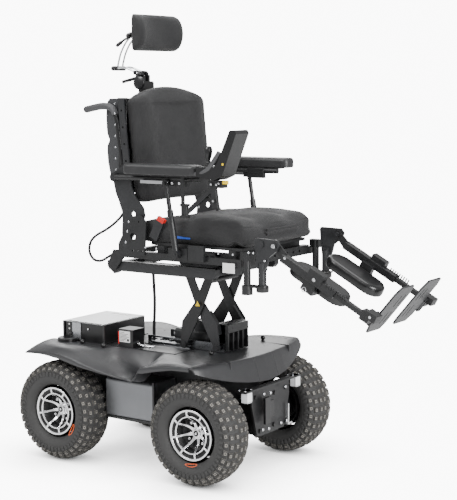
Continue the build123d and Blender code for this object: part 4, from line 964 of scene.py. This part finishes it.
for z in (1090, 1130, 1170, 1210, 1250, 1290, 1325):
    glint.bolt((-60, -249, z), (0, -1, 0), 3, 1.5)
for z in (830, 870, 905):
    glint.bolt((-20 + (z - 830) * 0.2, -249, z), (0, -1, 0), 4, 2)
glint.done()



# ---------------------------------------------------------------- cables
def evaluated_mesh(o):
    """The mesh that an object shows."""
    bpy.context.view_layer.update()
    return bpy.data.meshes.new_from_object(o.evaluated_get(bpy.context.evaluated_depsgraph_get()))


def cable(name, node, body, route, radius):
    """A cable: a NURBS line of order 3 with the route's points as its control points."""
    data = bpy.data.curves.new(name, "CURVE")
    data.dimensions = "3D"
    line = data.splines.new("NURBS")
    line.points.add(len(route) - 1)
    for point, co in zip(line.points, place(route)):
        point.co = (*co, 1)
    line.use_endpoint_u = True
    line.order_u = 3
    line.resolution_u = 8
    o = bpy.data.objects.new(name, data)
    bpy.context.scene.collection.objects.link(o)
    points = [v.co[:] for v in evaluated_mesh(o).vertices]
    data.bevel_depth = radius * MM
    data.bevel_resolution = 4
    data.use_fill_caps = True
    me = evaluated_mesh(o)
    me.materials.clear()
    me.materials.append(MATS["cable_jacket"])
    me.polygons.foreach_set("use_smooth", [True] * len(me.polygons))
    bpy.data.objects.remove(o)
    o = bpy.data.objects.new(name, me)
    bpy.context.scene.collection.objects.link(o)
    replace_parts(o, node)
    tuple(place(route[0])[0])
    if body == "subframe":
        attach(o, body)
    return o


cable("seat_cable_bundle", "seat_cable", "subframe",
      [(-96, 0, 775), (-96, 0, 700), (-91, -2, 640), (-88, -2, 580), (-92, 0, 520), (-96, 0, 460), (-96, 0.2, 400)],
      6)
back_loop = cable("back_cable_loop", "back_cable", "back",
                  [(-56, -180, 1030), (-62, -180, 970), (-88, -178, 922), (-132, -175, 886), (-180, -171, 858),
                   (-228, -166, 838), (-264, -162, 812), (-276, -160, 772), (-252, -162, 740), (-210, -166, 738),
                   (-166, -174, 760), (-120, -184, 782), (-78.2, -184, 782)], 5)
tuple(place((-90, -178, 930))[0])
tuple(place((-200, -166, 780))[0])
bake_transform(back_loop)

# joystick: bellows and knob, strap, marks
boot = Kit("stick_boot", "stick", "boot_rubber")
boot.lathe((362, -264, 1104), (0, 0, 1), [(0, 19), (3, 20), (6, 17), (9, 18), (12, 14.5), (15, 15.5), (18, 12),
                                          (21, 13), (24, 9.5), (28, 8)], 36)
boot.done()
knob = Kit("stick_knob", "stick", "gloss_black")
knob.lathe((362, -264, 1130), (0, 0, 1), [(0, 7), (8, 7), (14, 10), (26, 13), (40, 14), (48, 12), (53, 7)], 36)
knob_object = knob.done()
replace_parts(knob_object, "joystick_stick")
strap = Kit("stick_strap", "joystick_box", "grip_grey", 0.6)
strap.tube([(322, -286, 1088), (350, -294, 1092), (385, -298, 1108), (412, -298, 1140), (430, -296, 1165)], 8, n=16)
strap.done()
marks = Kit("stick_marks", "joystick_box", "yellow_mark", 0.4)
marks.lathe((449, -303.5, 1125), (0, -1, 0), [(0, 4), (1, 4)], 20)
marks.box((436, -288, 1058), (454, -276, 1070))
marks.done()
chrome = Kit("stick_bolts", "joystick_box", "chrome_rod")
for x, z in ((392, 1056), (414, 1056), (400, 1000), (424, 1060), (340, 978)):
    chrome.bolt((x, -292.5, z), (0, -1, 0), 4, 2.5)
chrome.done()

# ---------------------------------------------------------------- stage, camera, light
floor = bpy.data.meshes.new("floor")
floor.from_pydata([(-30, -30, 0), (30, -30, 0), (30, 30, 0), (-30, 30, 0)], [], [(0, 1, 2, 3)])
fm, fn, fl, _, fb = finish("floor_paper", (0.80, 0.80, 0.80), 0.6, 0.0, 0.01, 1, 0.02, 60)
out_node = next(n for n in fn if n.type == "OUTPUT_MATERIAL")
# seen by the camera, the floor glows white and is darkened by ambient occlusion under and around the chair: painted
# shadow; other rays see the plain diffuse floor
path_node = fn.new("ShaderNodeLightPath")
ao = fn.new("ShaderNodeAmbientOcclusion")
ao.inputs["Distance"].default_value = 0.30
ao.samples = 16
power = fn.new("ShaderNodeMath")
power.operation = "POWER"
power.inputs[1].default_value = 1.6
fl.new(ao.outputs["AO"], power.inputs[0])
glow_with_painted_shadow = fn.new("ShaderNodeEmission")
fl.new(power.outputs[0], glow_with_painted_shadow.inputs["Color"])
glow_with_painted_shadow.inputs["Strength"].default_value = 10.0
blend = fn.new("ShaderNodeMixShader")
fl.new(path_node.outputs["Is Camera Ray"], blend.inputs["Fac"])
fl.new(fb.outputs["BSDF"], blend.inputs[1])
fl.new(glow_with_painted_shadow.outputs["Emission"], blend.inputs[2])
fl.new(blend.outputs[0], out_node.inputs["Surface"])
floor.materials.append(fm)
floor_object = bpy.data.objects.new("floor", floor)
bpy.context.scene.collection.objects.link(floor_object)

CAMERA_AT = Vector(place((3008, -3886, 1387))[0])
LOOK_AT = Vector(place((255, 0, 793.7))[0])
ROLL = math.radians(-0.46)
cam_data = bpy.data.cameras.new("camera")
cam_data.lens = 95.3
cam_data.sensor_width = 36
cam = bpy.data.objects.new("camera", cam_data)
bpy.context.scene.collection.objects.link(cam)
forward = (LOOK_AT - CAMERA_AT).normalized()
right = forward.cross(Vector((0, 0, 1))).normalized()
up = right.cross(forward)
right_r = right * math.cos(ROLL) + up * math.sin(ROLL)
up_r = up * math.cos(ROLL) - right * math.sin(ROLL)
cam.matrix_world = Matrix(((right_r.x, up_r.x, -forward.x, CAMERA_AT.x),
                           (right_r.y, up_r.y, -forward.y, CAMERA_AT.y),
                           (right_r.z, up_r.z, -forward.z, CAMERA_AT.z), (0, 0, 0, 1)))
bpy.context.scene.camera = cam


def area_light(name, at, aim, size, power):
    """A soft square light aimed at a point."""
    d = bpy.data.lights.new(name, "AREA")
    d.shape = "SQUARE"
    d.size = size
    d.energy = power
    o = bpy.data.objects.new(name, d)
    bpy.context.scene.collection.objects.link(o)
    o.location = at
    o.rotation_euler = (Vector(aim) - Vector(at)).to_track_quat("-Z", "Y").to_euler()
    return o


area_light("key", (-1.5, -3.2, 4.2), (0, 0, 0.7), 2.2, 190)
area_light("front", (4.2, -1.2, 1.9), (0, 0, 0.6), 2.2, 260)
area_light("top", (0, 0.5, 4.5), (0, 0, 0.6), 3.0, 120)
area_light("back", (-3.0, 3.5, 3.0), (0, 0, 1.0), 2.5, 110)
world = bpy.data.worlds.new("studio")
world.use_nodes = True
wn, wl = world.node_tree.nodes, world.node_tree.links
wn["Background"].inputs["Color"].default_value = (1, 1, 1, 1)
seen = wn.new("ShaderNodeLightPath")
level = wn.new("ShaderNodeMapRange")
level.inputs["To Min"].default_value = 0.70
level.inputs["To Max"].default_value = 10.0
wl.new(seen.outputs["Is Camera Ray"], level.inputs["Value"])
wl.new(level.outputs["Result"], wn["Background"].inputs["Strength"])
bpy.context.scene.world = world
